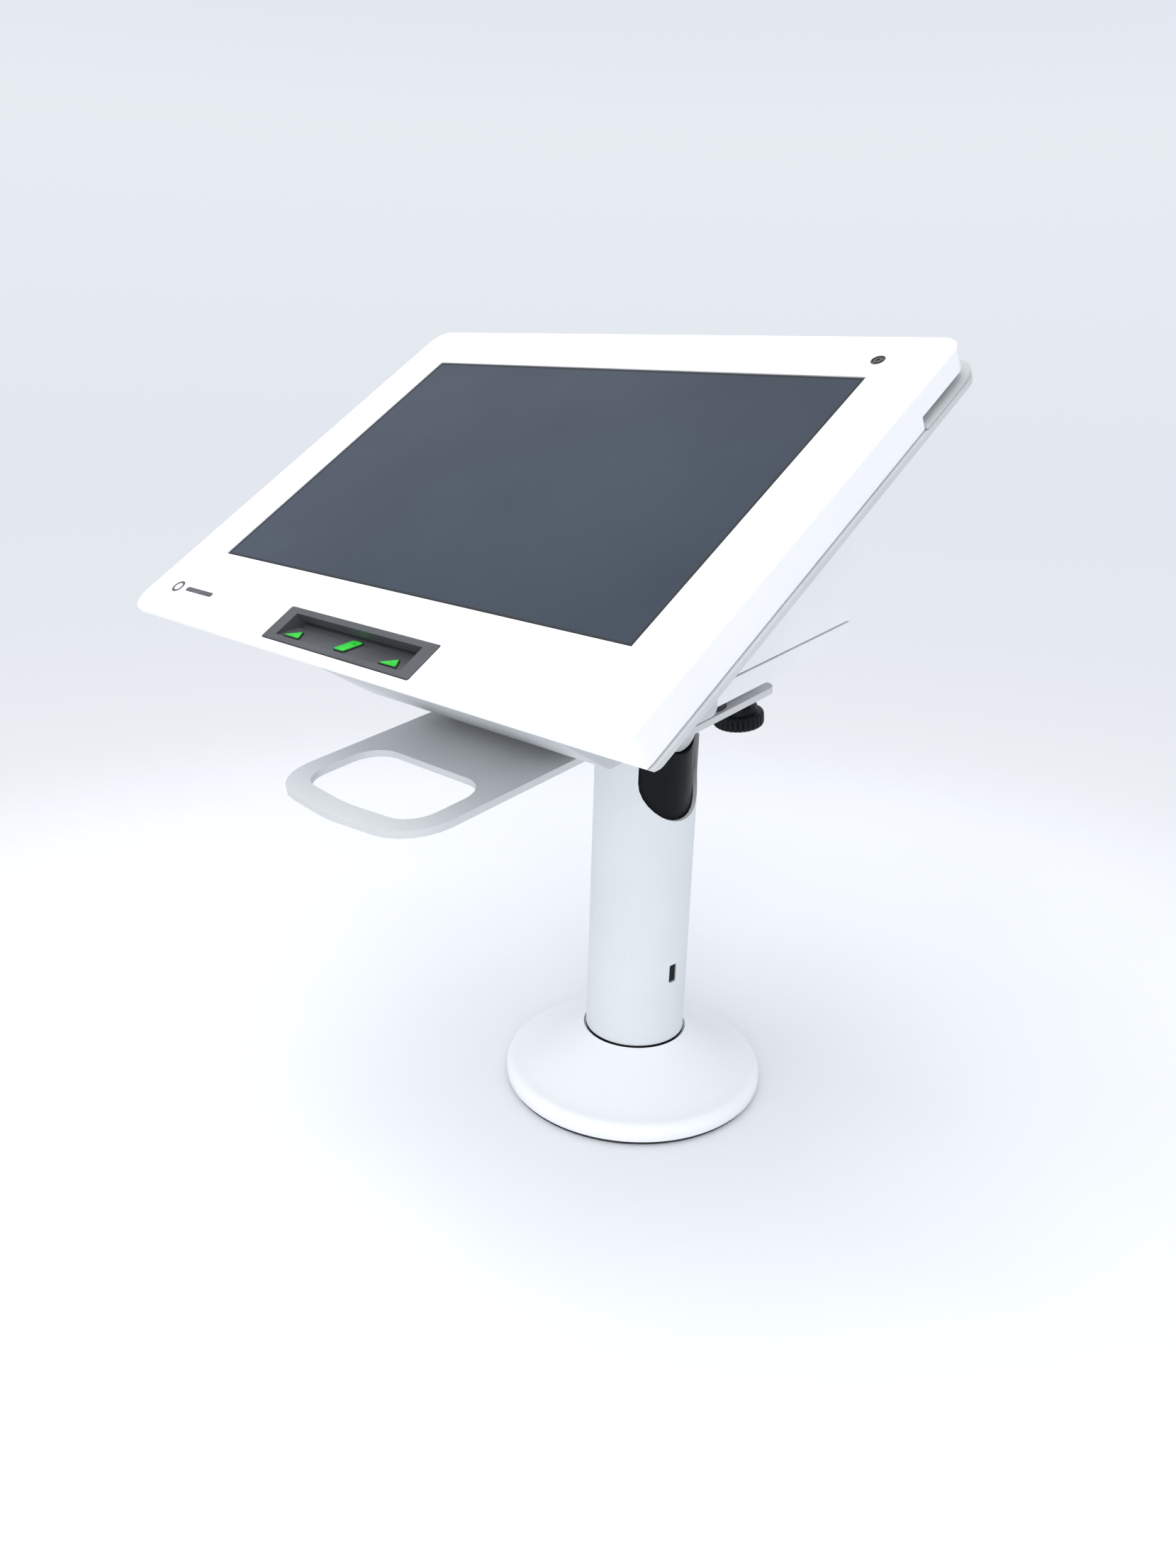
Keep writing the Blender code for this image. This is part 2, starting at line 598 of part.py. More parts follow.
def undercut_cutter(name):
    turn_in = CASING_DEPTH + GAP + 0.0010
    back = CASING_DEPTH + GAP + SHELL_THICKNESS
    curl = undercut_at(turn_in)
    profile = [(-0.010, 0.001), (0.0, 0.001), (0.0, -UNDERCUT_START), (curl, -turn_in),
               (curl + 0.0012, -(turn_in + back) / 2), (curl + 0.0034, -back - 0.0001),
               (-0.010, -back - 0.0001)]
    shape = slab([Vector(point) for point in profile], PANEL_WIDTH + 0.020, side=True)
    return cutter(name, shape, FACE)


def back_of_shell():
    return CASING_DEPTH + GAP + SHELL_THICKNESS + GAP


def build_bottom_tray():
    depth = BODY_REAR - POD_REAR - GAP
    middle = (BODY_REAR + POD_REAR + GAP) / 2
    high = TRAY_HEIGHT - GAP
    top = BODY_BOTTOM + high
    outline = round_corners([(POD_REAR + GAP, BODY_BOTTOM, 0.002), (BODY_REAR, BODY_BOTTOM, TRAY_CORNER),
                             (BODY_REAR, top, 0), (POD_REAR + GAP, top, 0)], 5)
    tray = piece("bottom_tray", slab(outline, BODY_HALF_WIDTH * 2, side=True), HEAD, WHITE_SATIN)
    soften(tray, 0.0010, 2, 60)
    hollow = block((BODY_HALF_WIDTH * 2 - BODY_WALL * 2, depth - BODY_WALL - TRAY_CORNER, high),
                   (0, middle + BODY_WALL / 2 - TRAY_CORNER / 2, BODY_BOTTOM + BODY_WALL + high / 2))
    cut(tray, cutter("tray_hollow", hollow, HEAD))
    for side, label in ((1, "right"), (-1, "left")):
        at = (side * KNOB_X, KNOB_V, 0)
        boss = cutter(f"tray_boss_{label}", rod(0.0052, TRAY_HEIGHT - 0.0014,
                                                (0, 0, BODY_BOTTOM + TRAY_HEIGHT / 2),
                                                sides=24), HEAD, at)
        cut(tray, boss, operation="UNION")
        cut(tray, cutter(f"tray_stud_bore_{label}", rod(STUD_RADIUS + GAP, 0.02, (0, 0, BODY_BOTTOM),
                                                        sides=20), HEAD, at))


def build_rear_housing():
    seam = BODY_BOTTOM + TRAY_HEIGHT
    depth = back_of_shell()
    low_front = max(panel_back(seam, depth), POD_REAR + GAP)
    slope_w = FACE_LOW + (low_front - depth / math.sin(SCREEN_SLOPE) - FACE_FRONT) * math.tan(SCREEN_SLOPE)
    outline = round_corners([
        (low_front, seam, 0), (BODY_REAR, seam, 0), (BODY_REAR, BODY_TOP, BODY_CORNER),
        (panel_back(BODY_TOP, depth), BODY_TOP, 0), (low_front, slope_w, 0)], 5)
    housing = piece("rear_housing", slab(outline, BODY_HALF_WIDTH * 2, side=True), HEAD, WHITE_SATIN)
    soften(housing, 0.0010, 2, 50)
    wall = BODY_WALL
    run = wall / math.sin(SCREEN_SLOPE)
    inner = round_corners([
        (low_front - 0.01, seam - 0.01, 0), (BODY_REAR - wall, seam - 0.01, 0),
        (BODY_REAR - wall, BODY_TOP - wall, BODY_CORNER - wall),
        (panel_back(BODY_TOP, depth) + run * 1.4, BODY_TOP - wall, 0),
        (panel_back(BODY_TOP - 0.010, depth) - 0.010, BODY_TOP - 0.010, 0),
        (low_front - 0.01, slope_w - 0.004, 0),
    ], 4)
    hollow = cutter("housing_hollow", slab(inner, (BODY_HALF_WIDTH - wall) * 2, side=True), HEAD)
    half = LID_HALF_WIDTH + GAP
    mouth_front = LID_FRONT - 0.0045
    mouth_rear = BODY_REAR + 0.010
    swing = math.hypot(BODY_REAR - HINGE_V, LID_HEEL)
    mouth_low = HINGE_W - math.sqrt(swing ** 2 - (BODY_REAR - wall - HINGE_V) ** 2) - GAP
    mouth_high = BODY_TOP + 0.005
    rear_mouth = cutter("lid_opening_rear", block((half * 2, mouth_rear - HINGE_V, mouth_high - mouth_low),
                                                  (0, (mouth_rear + HINGE_V) / 2,
                                                   (mouth_high + mouth_low) / 2)), HEAD)
    top_mouth = cutter("lid_opening_top", block((half * 2, mouth_rear - mouth_front, 0.012),
                                                (0, (mouth_rear + mouth_front) / 2,
                                                 mouth_high - 0.006)), HEAD)
    cut(housing, hollow, rear_mouth, top_mouth)
    for side, label in ((1, "right"), (-1, "left")):
        ear_top = BODY_TOP - BODY_WALL / 2
        ear_low = HINGE_W - 0.0034
        ear_rear = BODY_REAR - BODY_WALL / 2
        ear = block((HINGE_EAR, ear_rear - HINGE_V + 0.0034, ear_top - ear_low),
                    (side * (half + HINGE_EAR / 2 + 0.0002), (ear_rear + HINGE_V - 0.0034) / 2,
                     (ear_top + ear_low) / 2))
        cut(housing, cutter(f"hinge_ear_{label}", ear, HEAD), operation="UNION")
    cut(housing, cutter("hinge_pin_bore", rod(HINGE_PIN + GAP, (half + HINGE_EAR) * 2 + 0.002, axis="X",
                                              sides=20), HEAD,
                        (0, HINGE_V, HINGE_W)))
    button = cutter("button_opening", block((BUTTON_SIZE[0] + 2 * GAP, BUTTON_SIZE[1] + 2 * GAP, 0.02)),
                    HEAD, BUTTON_AT)
    port = cutter("port_opening", block((0.02, PORT_WIDTH + 2 * GAP, PORT_HEIGHT + 2 * GAP)), HEAD, PORT_AT)
    cut(housing, button, port)


def build_ports():
    """The sockets for power and data, in the left side of the housing."""
    shape = block((PORT_DEPTH, PORT_WIDTH, PORT_HEIGHT), (PORT_DEPTH / 2 + 0.0004, 0, 0))
    sockets = piece("port_block", shape, HEAD, DARK_GREY, PORT_AT)
    for number, v in enumerate((-SOCKET_PITCH, 0.0, SOCKET_PITCH)):
        at = (PORT_AT[0], PORT_AT[1] + v, PORT_AT[2])
        cut(sockets, cutter(f"port_socket_{number}", block((PORT_DEPTH * 1.5, *SOCKET_SIZE)), HEAD, at))


def build_lid_button():
    """The key beside the lid: pressing it down frees the lid."""
    x, v, w = BUTTON_SIZE
    key = piece("lid_button", block((x, v, w), (0, 0, BUTTON_RISE - w / 2), corner=0.002), HEAD,
                LIGHT_GREY, BUTTON_AT)
    soften(key, 0.0004, 2, 60)
    low = -BODY_WALL - GAP
    skirt = cutter("button_skirt", block((x + 0.0024, v + 0.0024, 0.0010), (0, 0, low - 0.0005)), HEAD,
                   BUTTON_AT)
    cut(key, skirt, operation="UNION")


def build_speaker():
    speaker = piece("speaker", rod(0.0100, 0.0060, sides=28), HEAD, DARK_GREY,
                    (-0.030, -0.050, BODY_BOTTOM + BODY_WALL + GAP + 0.0030))
    cone = cutter("speaker_cone", rod(0.0084, 0.0024, (0, 0, 0.0026), sides=28, top_radius=0.0060), HEAD,
                  speaker.location)
    cut(speaker, cone)


def build_pod():
    """The lower casing under the screen, which holds the chip card reader."""
    depth = back_of_shell()
    low = undercut_at(depth) + 0.0030
    front = FACE_FRONT + low * math.cos(SCREEN_SLOPE) + depth * math.sin(SCREEN_SLOPE)
    seam = FACE_LOW + low * math.sin(SCREEN_SLOPE) - depth * math.cos(SCREEN_SLOPE)
    top_rear = FACE_LOW + (POD_REAR - depth / math.sin(SCREEN_SLOPE) - FACE_FRONT) * math.tan(SCREEN_SLOPE)
    outline = round_corners([
        (front, seam, 0), (POD_FRONT_EDGE, BODY_BOTTOM, 0.004), (POD_REAR, BODY_BOTTOM, 0.003),
        (POD_REAR, top_rear, 0)], 4)
    pod = piece("front_pod", slab(outline, POD_HALF_WIDTH * 2, side=True), HEAD, GREY_SATIN)
    soften(pod, 0.0012, 2, 50)
    wall = BODY_WALL
    inner = [(front + 0.010, seam - 0.0005), (POD_FRONT_EDGE + 0.0012, BODY_BOTTOM + wall),
             (POD_REAR - wall, BODY_BOTTOM + wall), (POD_REAR - wall, top_rear + 0.012),
             (front + 0.010, seam + 0.020)]
    cut(pod, cutter("pod_hollow", slab([Vector(p) for p in inner], (POD_HALF_WIDTH - wall) * 2, side=True),
                    HEAD))


# ---------------------------------------------------------------- screen panel

def panel_plate(width, low, high, near, far, corner, segments=5):
    """A rounded plate in the screen's plane, between two depths behind the face."""
    return block((width, high - low, far - near), (0, (low + high) / 2, -(near + far) / 2), corner, 2,
                 segments)


def panel_outline(width, low, high, corner, low_corner):
    """The panel seen square on, with larger corners at its lower edge."""
    half = width / 2
    return round_corners([(-half, low, low_corner), (half, low, low_corner), (half, high, corner),
                          (-half, high, corner)], 6)


def build_casing():
    outline = panel_outline(PANEL_WIDTH, 0, PANEL_HEIGHT, PANEL_CORNER, PANEL_LOW_CORNER)
    casing = piece("front_casing", slab(outline, CASING_DEPTH, -CASING_DEPTH / 2), FACE, WHITE_GLOSS)
    soften(casing, 0.0006, 2, 50)
    far = CASING_DEPTH + 0.005
    slot_shape = block((PANEL_WIDTH + 0.01, 0.05, 0.02), (0, SLOT_BOTTOM + 0.025, -SLOT_NEAR - 0.01))
    swipe = cutter("swipe_slot", slot_shape, FACE)
    hollow_low = undercut_at(CASING_DEPTH) + CASING_WALL
    hollow = cutter("casing_hollow", panel_plate(PANEL_WIDTH - 2 * CASING_WALL, hollow_low,
                                                 SLOT_BOTTOM - CASING_WALL,
                                                 CASING_WALL, far, 0.003), FACE)
    low = SCREEN_BOTTOM - GAP
    high = SCREEN_BOTTOM + SCREEN_HEIGHT + GAP
    opening = cutter("screen_opening", panel_plate(SCREEN_WIDTH + 2 * GAP, low, high, -0.001, 0.0061, 0.0), FACE)
    trim = cutter("trim_opening", panel_plate(TRIM_WIDTH + 2 * GAP, TRIM_BOTTOM - GAP,
                                              TRIM_BOTTOM + TRIM_HEIGHT + GAP,
                                              -0.001, 0.0053, 0.0006, 2), FACE)
    lens = cutter("lens_hole", rod(LENS_RADIUS + GAP, 0.010, (0, 0, 0), sides=24), FACE,
                  (CAMERA_X, CAMERA_Y, 0))
    power = cutter("power_opening", block((0.01, POWER_LENGTH + 2 * GAP, POWER_WIDTH + 2 * GAP)), FACE,
                   (-PANEL_WIDTH / 2, POWER_Y, -POWER_DEPTH))
    cut(casing, undercut_cutter("casing_underside"), swipe, hollow, opening, trim, lens, power)


def build_display():
    glass = 0.0012
    top = 0.0002
    low = SCREEN_BOTTOM
    high = SCREEN_BOTTOM + SCREEN_HEIGHT
    piece("touch_glass", panel_plate(SCREEN_WIDTH, low, high, top, top + glass, 0.0), FACE, SCREEN_DARK)
    near = top + glass + GAP
    piece("lcd_module", panel_plate(SCREEN_WIDTH - 0.002, low + 0.001, high - 0.001, near, near + 0.0042,
                                    0.0), FACE,
          STEEL)
    board_near = near + 0.0042 + GAP + 0.0008
    board = piece("main_board", panel_plate(0.150, 0.080, 0.1280, board_near, board_near + 0.0014, 0.002,
                                            2), FACE,
                  BOARD_GREEN)
    shield = cutter("board_shield", block((0.040, 0.030, 0.0014), (0.020, 0.104, -board_near - 0.0020)), FACE)
    chips = cutter("board_chips", block((0.018, 0.020, 0.0014), (-0.045, 0.104, -board_near - 0.0020)), FACE)
    cut(board, shield, chips, operation="UNION")


def build_camera():
    at = (CAMERA_X, CAMERA_Y, 0)
    piece("camera_lens", rod(LENS_RADIUS, 0.0008, (0, 0, -0.0006), sides=24), FACE, LENS_GLASS, at)
    piece("camera_module", rod(LENS_RADIUS, 0.0032, (0, 0, -0.0029), sides=20), FACE, BLACK_PLASTIC, at)


def build_card_reader():
    low = TRIM_BOTTOM
    high = TRIM_BOTTOM + TRIM_HEIGHT
    trim = piece("card_reader_trim", panel_plate(TRIM_WIDTH, low, high, -0.0002, 0.0050, 0.0004, 2), FACE,
                 DARK_GREY)
    soften(trim, 0.0002, 1, 60)
    recess_low = low + TRIM_BORDER_Y
    recess_high = high - TRIM_BORDER_Y
    deep = RAMP_DEPTH - RAMP_START
    wedge = [(recess_low, 0.010), (recess_low, -RAMP_START), (recess_high, -RAMP_DEPTH), (recess_high, 0.010)]
    recess = cutter("trim_recess", slab([Vector(point) for point in wedge], CARD_SLOT_WIDTH, side=True), FACE)
    throat_at = (0, recess_high + 0.001, CARD_THROAT / 2 - RAMP_DEPTH)
    throat = cutter("card_throat", block((CARD_SLOT_WIDTH, 0.006, CARD_THROAT), throat_at), FACE)
    cut(trim, recess, throat)
    module_low = undercut_at(CASING_DEPTH) + CASING_WALL + GAP
    length = 0.0500
    module_shape = block((0.068, length, 0.0040), (0, module_low + length / 2, -0.0084), corner=0.002)
    module = piece("card_reader_module", module_shape, FACE, BLACK_PLASTIC)
    cut(module, cutter("module_channel", block((CARD_SLOT_WIDTH, length, 0.0012),
                                               (0, module_low + length / 2 - 0.004, -0.0084)),
                       FACE))
    # Lit marks on the ramp: an arrow at each end and a card outline between them
    ramp = frame("ramp_frame", FACE, (0, recess_low, -RAMP_START),
                 (-math.atan2(deep, recess_high - recess_low), 0, 0))
    middle = GAP + MARK_THICKNESS / 2
    for label, x in (("left", -MARK_X), ("right", MARK_X)):
        arrow = round_corners([(x - 0.0033, 0.0008, 0), (x + 0.0033, 0.0008, 0.0005), (x, 0.0045, 0)], 3)
        piece(f"light_arrow_{label}", slab(arrow, MARK_THICKNESS, middle), ramp, GREEN_LIGHT)
    card = round_corners([(-0.0021, 0.0010, 0.0004), (0.0021, 0.0010, 0.0004), (0.0021, 0.0078, 0.0007),
                          (-0.0021, 0.0078, 0.0007)], 3)
    chip = [Vector(point) for point in ((0.0001, 0.0056), (0.0010, 0.0056), (0.0010, 0.0066),
                                        (0.0001, 0.0066))]
    piece("light_card", slab(card, MARK_THICKNESS, middle, holes=(chip,)), ramp, GREEN_LIGHT)


def build_rear_shell():
    near = CASING_DEPTH + GAP
    far = near + SHELL_THICKNESS
    outline = panel_outline(PANEL_WIDTH + 2 * LIP_OVERHANG, 0.0004, PANEL_HEIGHT + LIP_RISE, LIP_CORNER,
                            PANEL_LOW_CORNER)
    shell = piece("rear_shell", slab(outline, SHELL_THICKNESS, -(near + far) / 2), FACE, GREY_SATIN)
    soften(shell, 0.0008, 2, 50)
    window = cutter("shell_window", panel_plate(0.088, 0.012, 0.112, near - 0.001, far + 0.001, 0.004, 3),
                    FACE)
    cut(shell, undercut_cutter("shell_underside"), window)
    slot_far = SLOT_NEAR + SLOT_WIDTH
    outline = panel_outline(PANEL_WIDTH + 2 * LIP_OVERHANG, SLOT_BOTTOM + GAP, PANEL_HEIGHT + LIP_RISE,
                            LIP_CORNER, 0.0005)
    liner = piece("swipe_liner", slab(outline, CASING_DEPTH - slot_far, -(slot_far + CASING_DEPTH) / 2),
                  FACE, WHITE_SATIN)
    soften(liner, 0.0003, 1, 60)


def build_power_button():
    key = block((0.0030, POWER_LENGTH, POWER_WIDTH), (0.0015 - 0.0006, 0, 0), corner=0.0010, axis=0,
                segments=3)
    piece("power_button", key, FACE, LIGHT_GREY, (-PANEL_WIDTH / 2, POWER_Y, -POWER_DEPTH))


# ---------------------------------------------------------------- printer

def gear(name, teeth, turn, location, bore, look):
    """A spur gear about X, with a gap between teeth at the angle turn from the v axis."""
    pitch = pitch_radius(teeth)
    root = pitch - GEAR_MODULE * 0.85
    tip = pitch + GEAR_MODULE * 0.55
    outline = []
    for tooth in range(teeth):
        for part, radius in ((0.22, root), (0.37, tip), (0.63, tip), (0.78, root)):
            angle = turn + math.tau * (tooth + part) / teeth
            outline.append(Vector((radius * math.cos(angle), radius * math.sin(angle))))
    wheel = piece(name, slab(outline, GEAR_WIDTH, side=True), HEAD, look, location)
    return cut(wheel, cutter(f"{name}_bore", rod(bore, 0.02, axis="X", sides=20), HEAD, location))


def pitch_radius(teeth):
    return teeth * GEAR_MODULE / 2


def meshed_turn(first_at, first_teeth, first_turn, second_at, second_teeth):
    """The angle that puts the second gear's teeth in the first gear's gaps."""
    line = math.atan2(second_at[2] - first_at[2], second_at[1] - first_at[1])
    share = (line - first_turn) / math.tau * first_teeth
    return line + math.pi - (0.5 - share) * math.tau / second_teeth


def build_gears():
    """Motor pinion, idler and platen gear, on the right of the paper bay."""
    platen_at = (GEAR_X, PLATEN_V, PLATEN_W)
    first = pitch_radius(PLATEN_TEETH) + pitch_radius(IDLER_TEETH)
    second = pitch_radius(PINION_TEETH) + pitch_radius(IDLER_TEETH)
    idler_at = (GEAR_X, PLATEN_V + first * math.cos(IDLER_ANGLE), PLATEN_W + first * math.sin(IDLER_ANGLE))
    motor_at = (GEAR_X, idler_at[1] + second * math.cos(PINION_ANGLE),
                idler_at[2] + second * math.sin(PINION_ANGLE))
    idler_turn = meshed_turn(platen_at, PLATEN_TEETH, 0.0, idler_at, IDLER_TEETH)
    pinion_turn = meshed_turn(idler_at, IDLER_TEETH, idler_turn, motor_at, PINION_TEETH)
    gear("platen_gear", PLATEN_TEETH, 0.0, platen_at, PLATEN_SHAFT + GAP, LIGHT_GREY)
    gear("idler_gear", IDLER_TEETH, idler_turn, idler_at, IDLER_PIN + GAP, LIGHT_GREY)
    gear("motor_pinion", PINION_TEETH, pinion_turn, motor_at, MOTOR_SHAFT + GAP, BRASS)
    pin_start = BAY_HALF_WIDTH + GAP
    pin_end = GEAR_X + GEAR_WIDTH / 2 + 0.001
    pin = rod(IDLER_PIN, pin_end - pin_start, ((pin_end - pin_start) / 2, 0, 0), "X", 16)
    piece("idler_pin", pin, HEAD, STEEL, (pin_start, idler_at[1], idler_at[2]))
    motor_end = BAY_HALF_WIDTH - GAP
    motor = rod(MOTOR_RADIUS, MOTOR_LENGTH, (-MOTOR_LENGTH / 2, 0, 0), "X", 32)
    piece("stepper_motor", motor, HEAD, ZINC_STEEL, (motor_end, motor_at[1], motor_at[2]))
    shaft_length = pin_end - motor_end - GAP
    shaft = rod(MOTOR_SHAFT, shaft_length, (shaft_length / 2, 0, 0), "X", 16)
    piece("motor_shaft", shaft, HEAD, STEEL, (motor_end + GAP, motor_at[1], motor_at[2]))


def build_printer():
    # Bay: a trough that holds the roll, open at the top
    reach = ROLL_WIDTH / 2 + BAY_PLAY
    bay_low = ROLL_W - ROLL_RADIUS - 0.0008 - BAY_FLOOR
    rear = ROLL_V + ROLL_RADIUS + 0.0028
    front = ROLL_V - ROLL_RADIUS - 0.0028
    bay_top = ROLL_W + 0.006
    bay = piece("printer_frame", block(((reach + BAY_CHEEK) * 2, rear - front, bay_top - bay_low),
                                       (0, (rear + front) / 2, (bay_top + bay_low) / 2)), HEAD, DARK_GREY)
    trough = cutter("bay_trough", rod(ROLL_RADIUS + 0.0008, reach * 2, axis="X", sides=48), HEAD,
                    (0, ROLL_V, ROLL_W))
    mouth = cutter("bay_mouth", block((reach * 2, (ROLL_RADIUS + 0.0008) * 2, 0.030), (0, 0, 0.015)), HEAD,
                   (0, ROLL_V, ROLL_W))
    cut(bay, trough, mouth)
    turned("paper_roll", [(ROLL_RADIUS, ROLL_WIDTH / 2), (ROLL_RADIUS, -ROLL_WIDTH / 2),
                          (ROLL_CORE, -ROLL_WIDTH / 2),
                          (ROLL_CORE, ROLL_WIDTH / 2)], HEAD, PAPER, (0, ROLL_V, ROLL_W), sides=48, axis="X")
    # Print head: a bar in front of the platen
    head_v = PLATEN_V - PLATEN_RADIUS - GAP
    piece("print_head", block((ROLL_WIDTH - 0.0035, 0.0022, 0.0100), (0, -0.0011, -0.0030)), HEAD, ALUMINIUM,
          (0, head_v, PLATEN_W))
    bar_front = LID_FRONT - 0.0042
    bar_at = (0, bar_front + 0.0008, BODY_TOP - 0.0014)
    piece("tear_bar", block((LID_HALF_WIDTH * 2 - 0.002, 0.0016, 0.0040), bar_at), HEAD, STEEL)
    # Lid with the platen under its front edge
    t = LID_THICKNESS
    skirt_low = HINGE_W - LID_HEEL
    corners = [(LID_FRONT, BODY_TOP, 0), (BODY_REAR, BODY_TOP, BODY_CORNER), (BODY_REAR, skirt_low, 0),
               (BODY_REAR - t, skirt_low, 0), (BODY_REAR - t, BODY_TOP - t, BODY_CORNER - t),
               (LID_FRONT, BODY_TOP - t, 0)]
    outline = round_corners([(v - HINGE_V, w - HINGE_W, radius) for v, w, radius in corners], 5)
    hinge = (0, HINGE_V, HINGE_W)
    lid = piece("paper_lid", slab(outline, LID_HALF_WIDTH * 2, side=True), HEAD, WHITE_SATIN, hinge)
    soften(lid, 0.0005, 2, 50)
    knuckle = cutter("lid_knuckle", rod(0.0034, 0.040, axis="X", sides=28), HEAD, (0, HINGE_V, HINGE_W))
    cut(lid, knuckle, operation="UNION")
    for side, label in ((1, "right"), (-1, "left")):
        ear = cutter(f"platen_ear_{label}", block((PLATEN_EAR_WIDTH, 0.0090,
                                                   BODY_TOP - 0.001 - PLATEN_W + 0.003),
                                                  (side * PLATEN_EAR_X, 0,
                                                   (BODY_TOP - 0.001 - PLATEN_W - 0.003) / 2)), HEAD,
                     (0, PLATEN_V, PLATEN_W))
        cut(lid, ear, operation="UNION")
    platen = (0, PLATEN_V, PLATEN_W)
    cut(lid, cutter("hinge_bore", rod(HINGE_PIN + GAP, 0.08, axis="X", sides=20), HEAD, hinge))
    cut(lid, cutter("platen_bore", rod(PLATEN_SHAFT + GAP, 0.08, axis="X", sides=20), HEAD, platen))
    piece("lid_hinge_pin", rod(HINGE_PIN, (LID_HALF_WIDTH + HINGE_EAR) * 2, axis="X", sides=20), HEAD, STEEL,
          (0, HINGE_V, HINGE_W))
    roller = piece("platen_roller", rod(PLATEN_RADIUS, ROLL_WIDTH, axis="X", sides=32), HEAD, BLACK_RUBBER,
                   (0, PLATEN_V, PLATEN_W))
    shaft_left = -PLATEN_EAR_X - 0.0010
    shaft_right = GEAR_X + GEAR_WIDTH / 2 + 0.0004
    shaft = rod(PLATEN_SHAFT, shaft_right - shaft_left, ((shaft_left + shaft_right) / 2, 0, 0), axis="X",
                sides=20)
    cut(roller, cutter("platen_shaft", shaft, HEAD, (0, PLATEN_V, PLATEN_W)), operation="UNION")


def build_all():
    build_base()
    build_spigot()
    build_latch()
    build_pole()
    build_swivel()
    build_tilt_head()
    build_mount_plate()
    build_knobs()
    build_bottom_tray()
    build_pod()
    build_rear_housing()
    build_ports()
    build_lid_button()
    build_speaker()
    build_casing()
    build_display()
    build_camera()
    build_card_reader()
    build_rear_shell()
    build_power_button()
    build_printer()
    build_gears()


clear_scene()
PARTS = collection("pos_touchscreen_terminal")
CUTTERS = collection("cutters")
WHITE_GLOSS = principled("white_gloss_plastic", (0.90, 0.90, 0.91), 0.18)
WHITE_SATIN = principled("white_satin", (0.84, 0.85, 0.86), 0.42)
GREY_SATIN = principled("grey_satin_plastic", (0.66, 0.68, 0.68), 0.45)
LIGHT_GREY = principled("light_grey_plastic", (0.55, 0.57, 0.57), 0.5)
DARK_GREY = principled("dark_grey_plastic", (0.085, 0.09, 0.10), 0.45)
BLACK_PLASTIC = principled("black_plastic", (0.012, 0.013, 0.015), 0.42)
BLACK_RUBBER = principled("black_rubber", (0.02, 0.02, 0.02), 0.8)
SCREEN_DARK = principled("screen_glass", (0.045, 0.06, 0.08), 0.28)
LENS_GLASS = principled("lens_glass", (0.02, 0.02, 0.025), 0.05)
STEEL = principled("steel", (0.62, 0.63, 0.64), 0.3, 1.0)
ZINC_STEEL = principled("zinc_plated_steel", (0.55, 0.56, 0.58), 0.38, 1.0)
ALUMINIUM = principled("aluminium", (0.75, 0.76, 0.77), 0.35, 1.0)
BRASS = principled("brass", (0.72, 0.52, 0.22), 0.35, 1.0)
BOARD_GREEN = principled("circuit_board", (0.02, 0.12, 0.06), 0.5)
GREEN_LIGHT = principled("green_light", (0.05, 0.75, 0.12), 0.35)
PAPER = principled("paper", (0.86, 0.85, 0.82), 0.85)
PLATE_HOLES = []
STAND = frame("stand_frame")
LATCH = frame("latch_frame", STAND, rotation=(0, 0, LATCH_AZIMUTH))
SWIVEL = frame("swivel_frame", STAND)
HEAD = frame("tilt_frame", SWIVEL, (0, 0, PIVOT_HEIGHT), (TILT, 0, 0))
FACE = frame("screen_frame", HEAD, (0, FACE_FRONT, FACE_LOW), (SCREEN_SLOPE, 0, 0))
build_all()
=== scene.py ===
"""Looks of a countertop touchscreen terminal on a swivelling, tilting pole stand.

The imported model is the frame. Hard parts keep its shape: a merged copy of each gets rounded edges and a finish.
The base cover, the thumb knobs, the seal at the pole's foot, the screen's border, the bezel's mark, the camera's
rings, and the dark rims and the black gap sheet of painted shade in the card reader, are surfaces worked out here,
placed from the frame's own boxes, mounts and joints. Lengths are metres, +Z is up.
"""

import json
import math

import bmesh
import bpy
import numpy as np
from mathutils import Matrix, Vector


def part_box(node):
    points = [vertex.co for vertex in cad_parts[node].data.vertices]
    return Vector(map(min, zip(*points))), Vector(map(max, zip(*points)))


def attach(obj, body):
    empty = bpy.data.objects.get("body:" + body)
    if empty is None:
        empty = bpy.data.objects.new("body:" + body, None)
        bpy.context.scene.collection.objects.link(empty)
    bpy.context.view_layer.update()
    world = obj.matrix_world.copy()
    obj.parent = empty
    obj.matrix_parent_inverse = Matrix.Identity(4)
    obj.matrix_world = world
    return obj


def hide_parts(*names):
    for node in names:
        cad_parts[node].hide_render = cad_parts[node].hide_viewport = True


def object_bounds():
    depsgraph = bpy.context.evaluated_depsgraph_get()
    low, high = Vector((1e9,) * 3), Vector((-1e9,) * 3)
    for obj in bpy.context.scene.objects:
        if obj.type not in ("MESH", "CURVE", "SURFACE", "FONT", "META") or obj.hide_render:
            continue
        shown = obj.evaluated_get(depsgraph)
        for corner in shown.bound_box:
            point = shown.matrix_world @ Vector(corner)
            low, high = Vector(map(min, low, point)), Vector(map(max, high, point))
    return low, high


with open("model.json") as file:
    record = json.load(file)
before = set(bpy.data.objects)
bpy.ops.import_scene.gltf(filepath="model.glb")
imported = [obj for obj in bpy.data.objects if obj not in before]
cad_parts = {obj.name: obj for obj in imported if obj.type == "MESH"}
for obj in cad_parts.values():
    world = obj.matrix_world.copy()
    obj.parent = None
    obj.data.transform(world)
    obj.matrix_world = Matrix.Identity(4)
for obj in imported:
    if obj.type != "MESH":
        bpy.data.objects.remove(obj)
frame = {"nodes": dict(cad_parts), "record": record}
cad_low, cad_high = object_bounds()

RECORD = frame["record"]
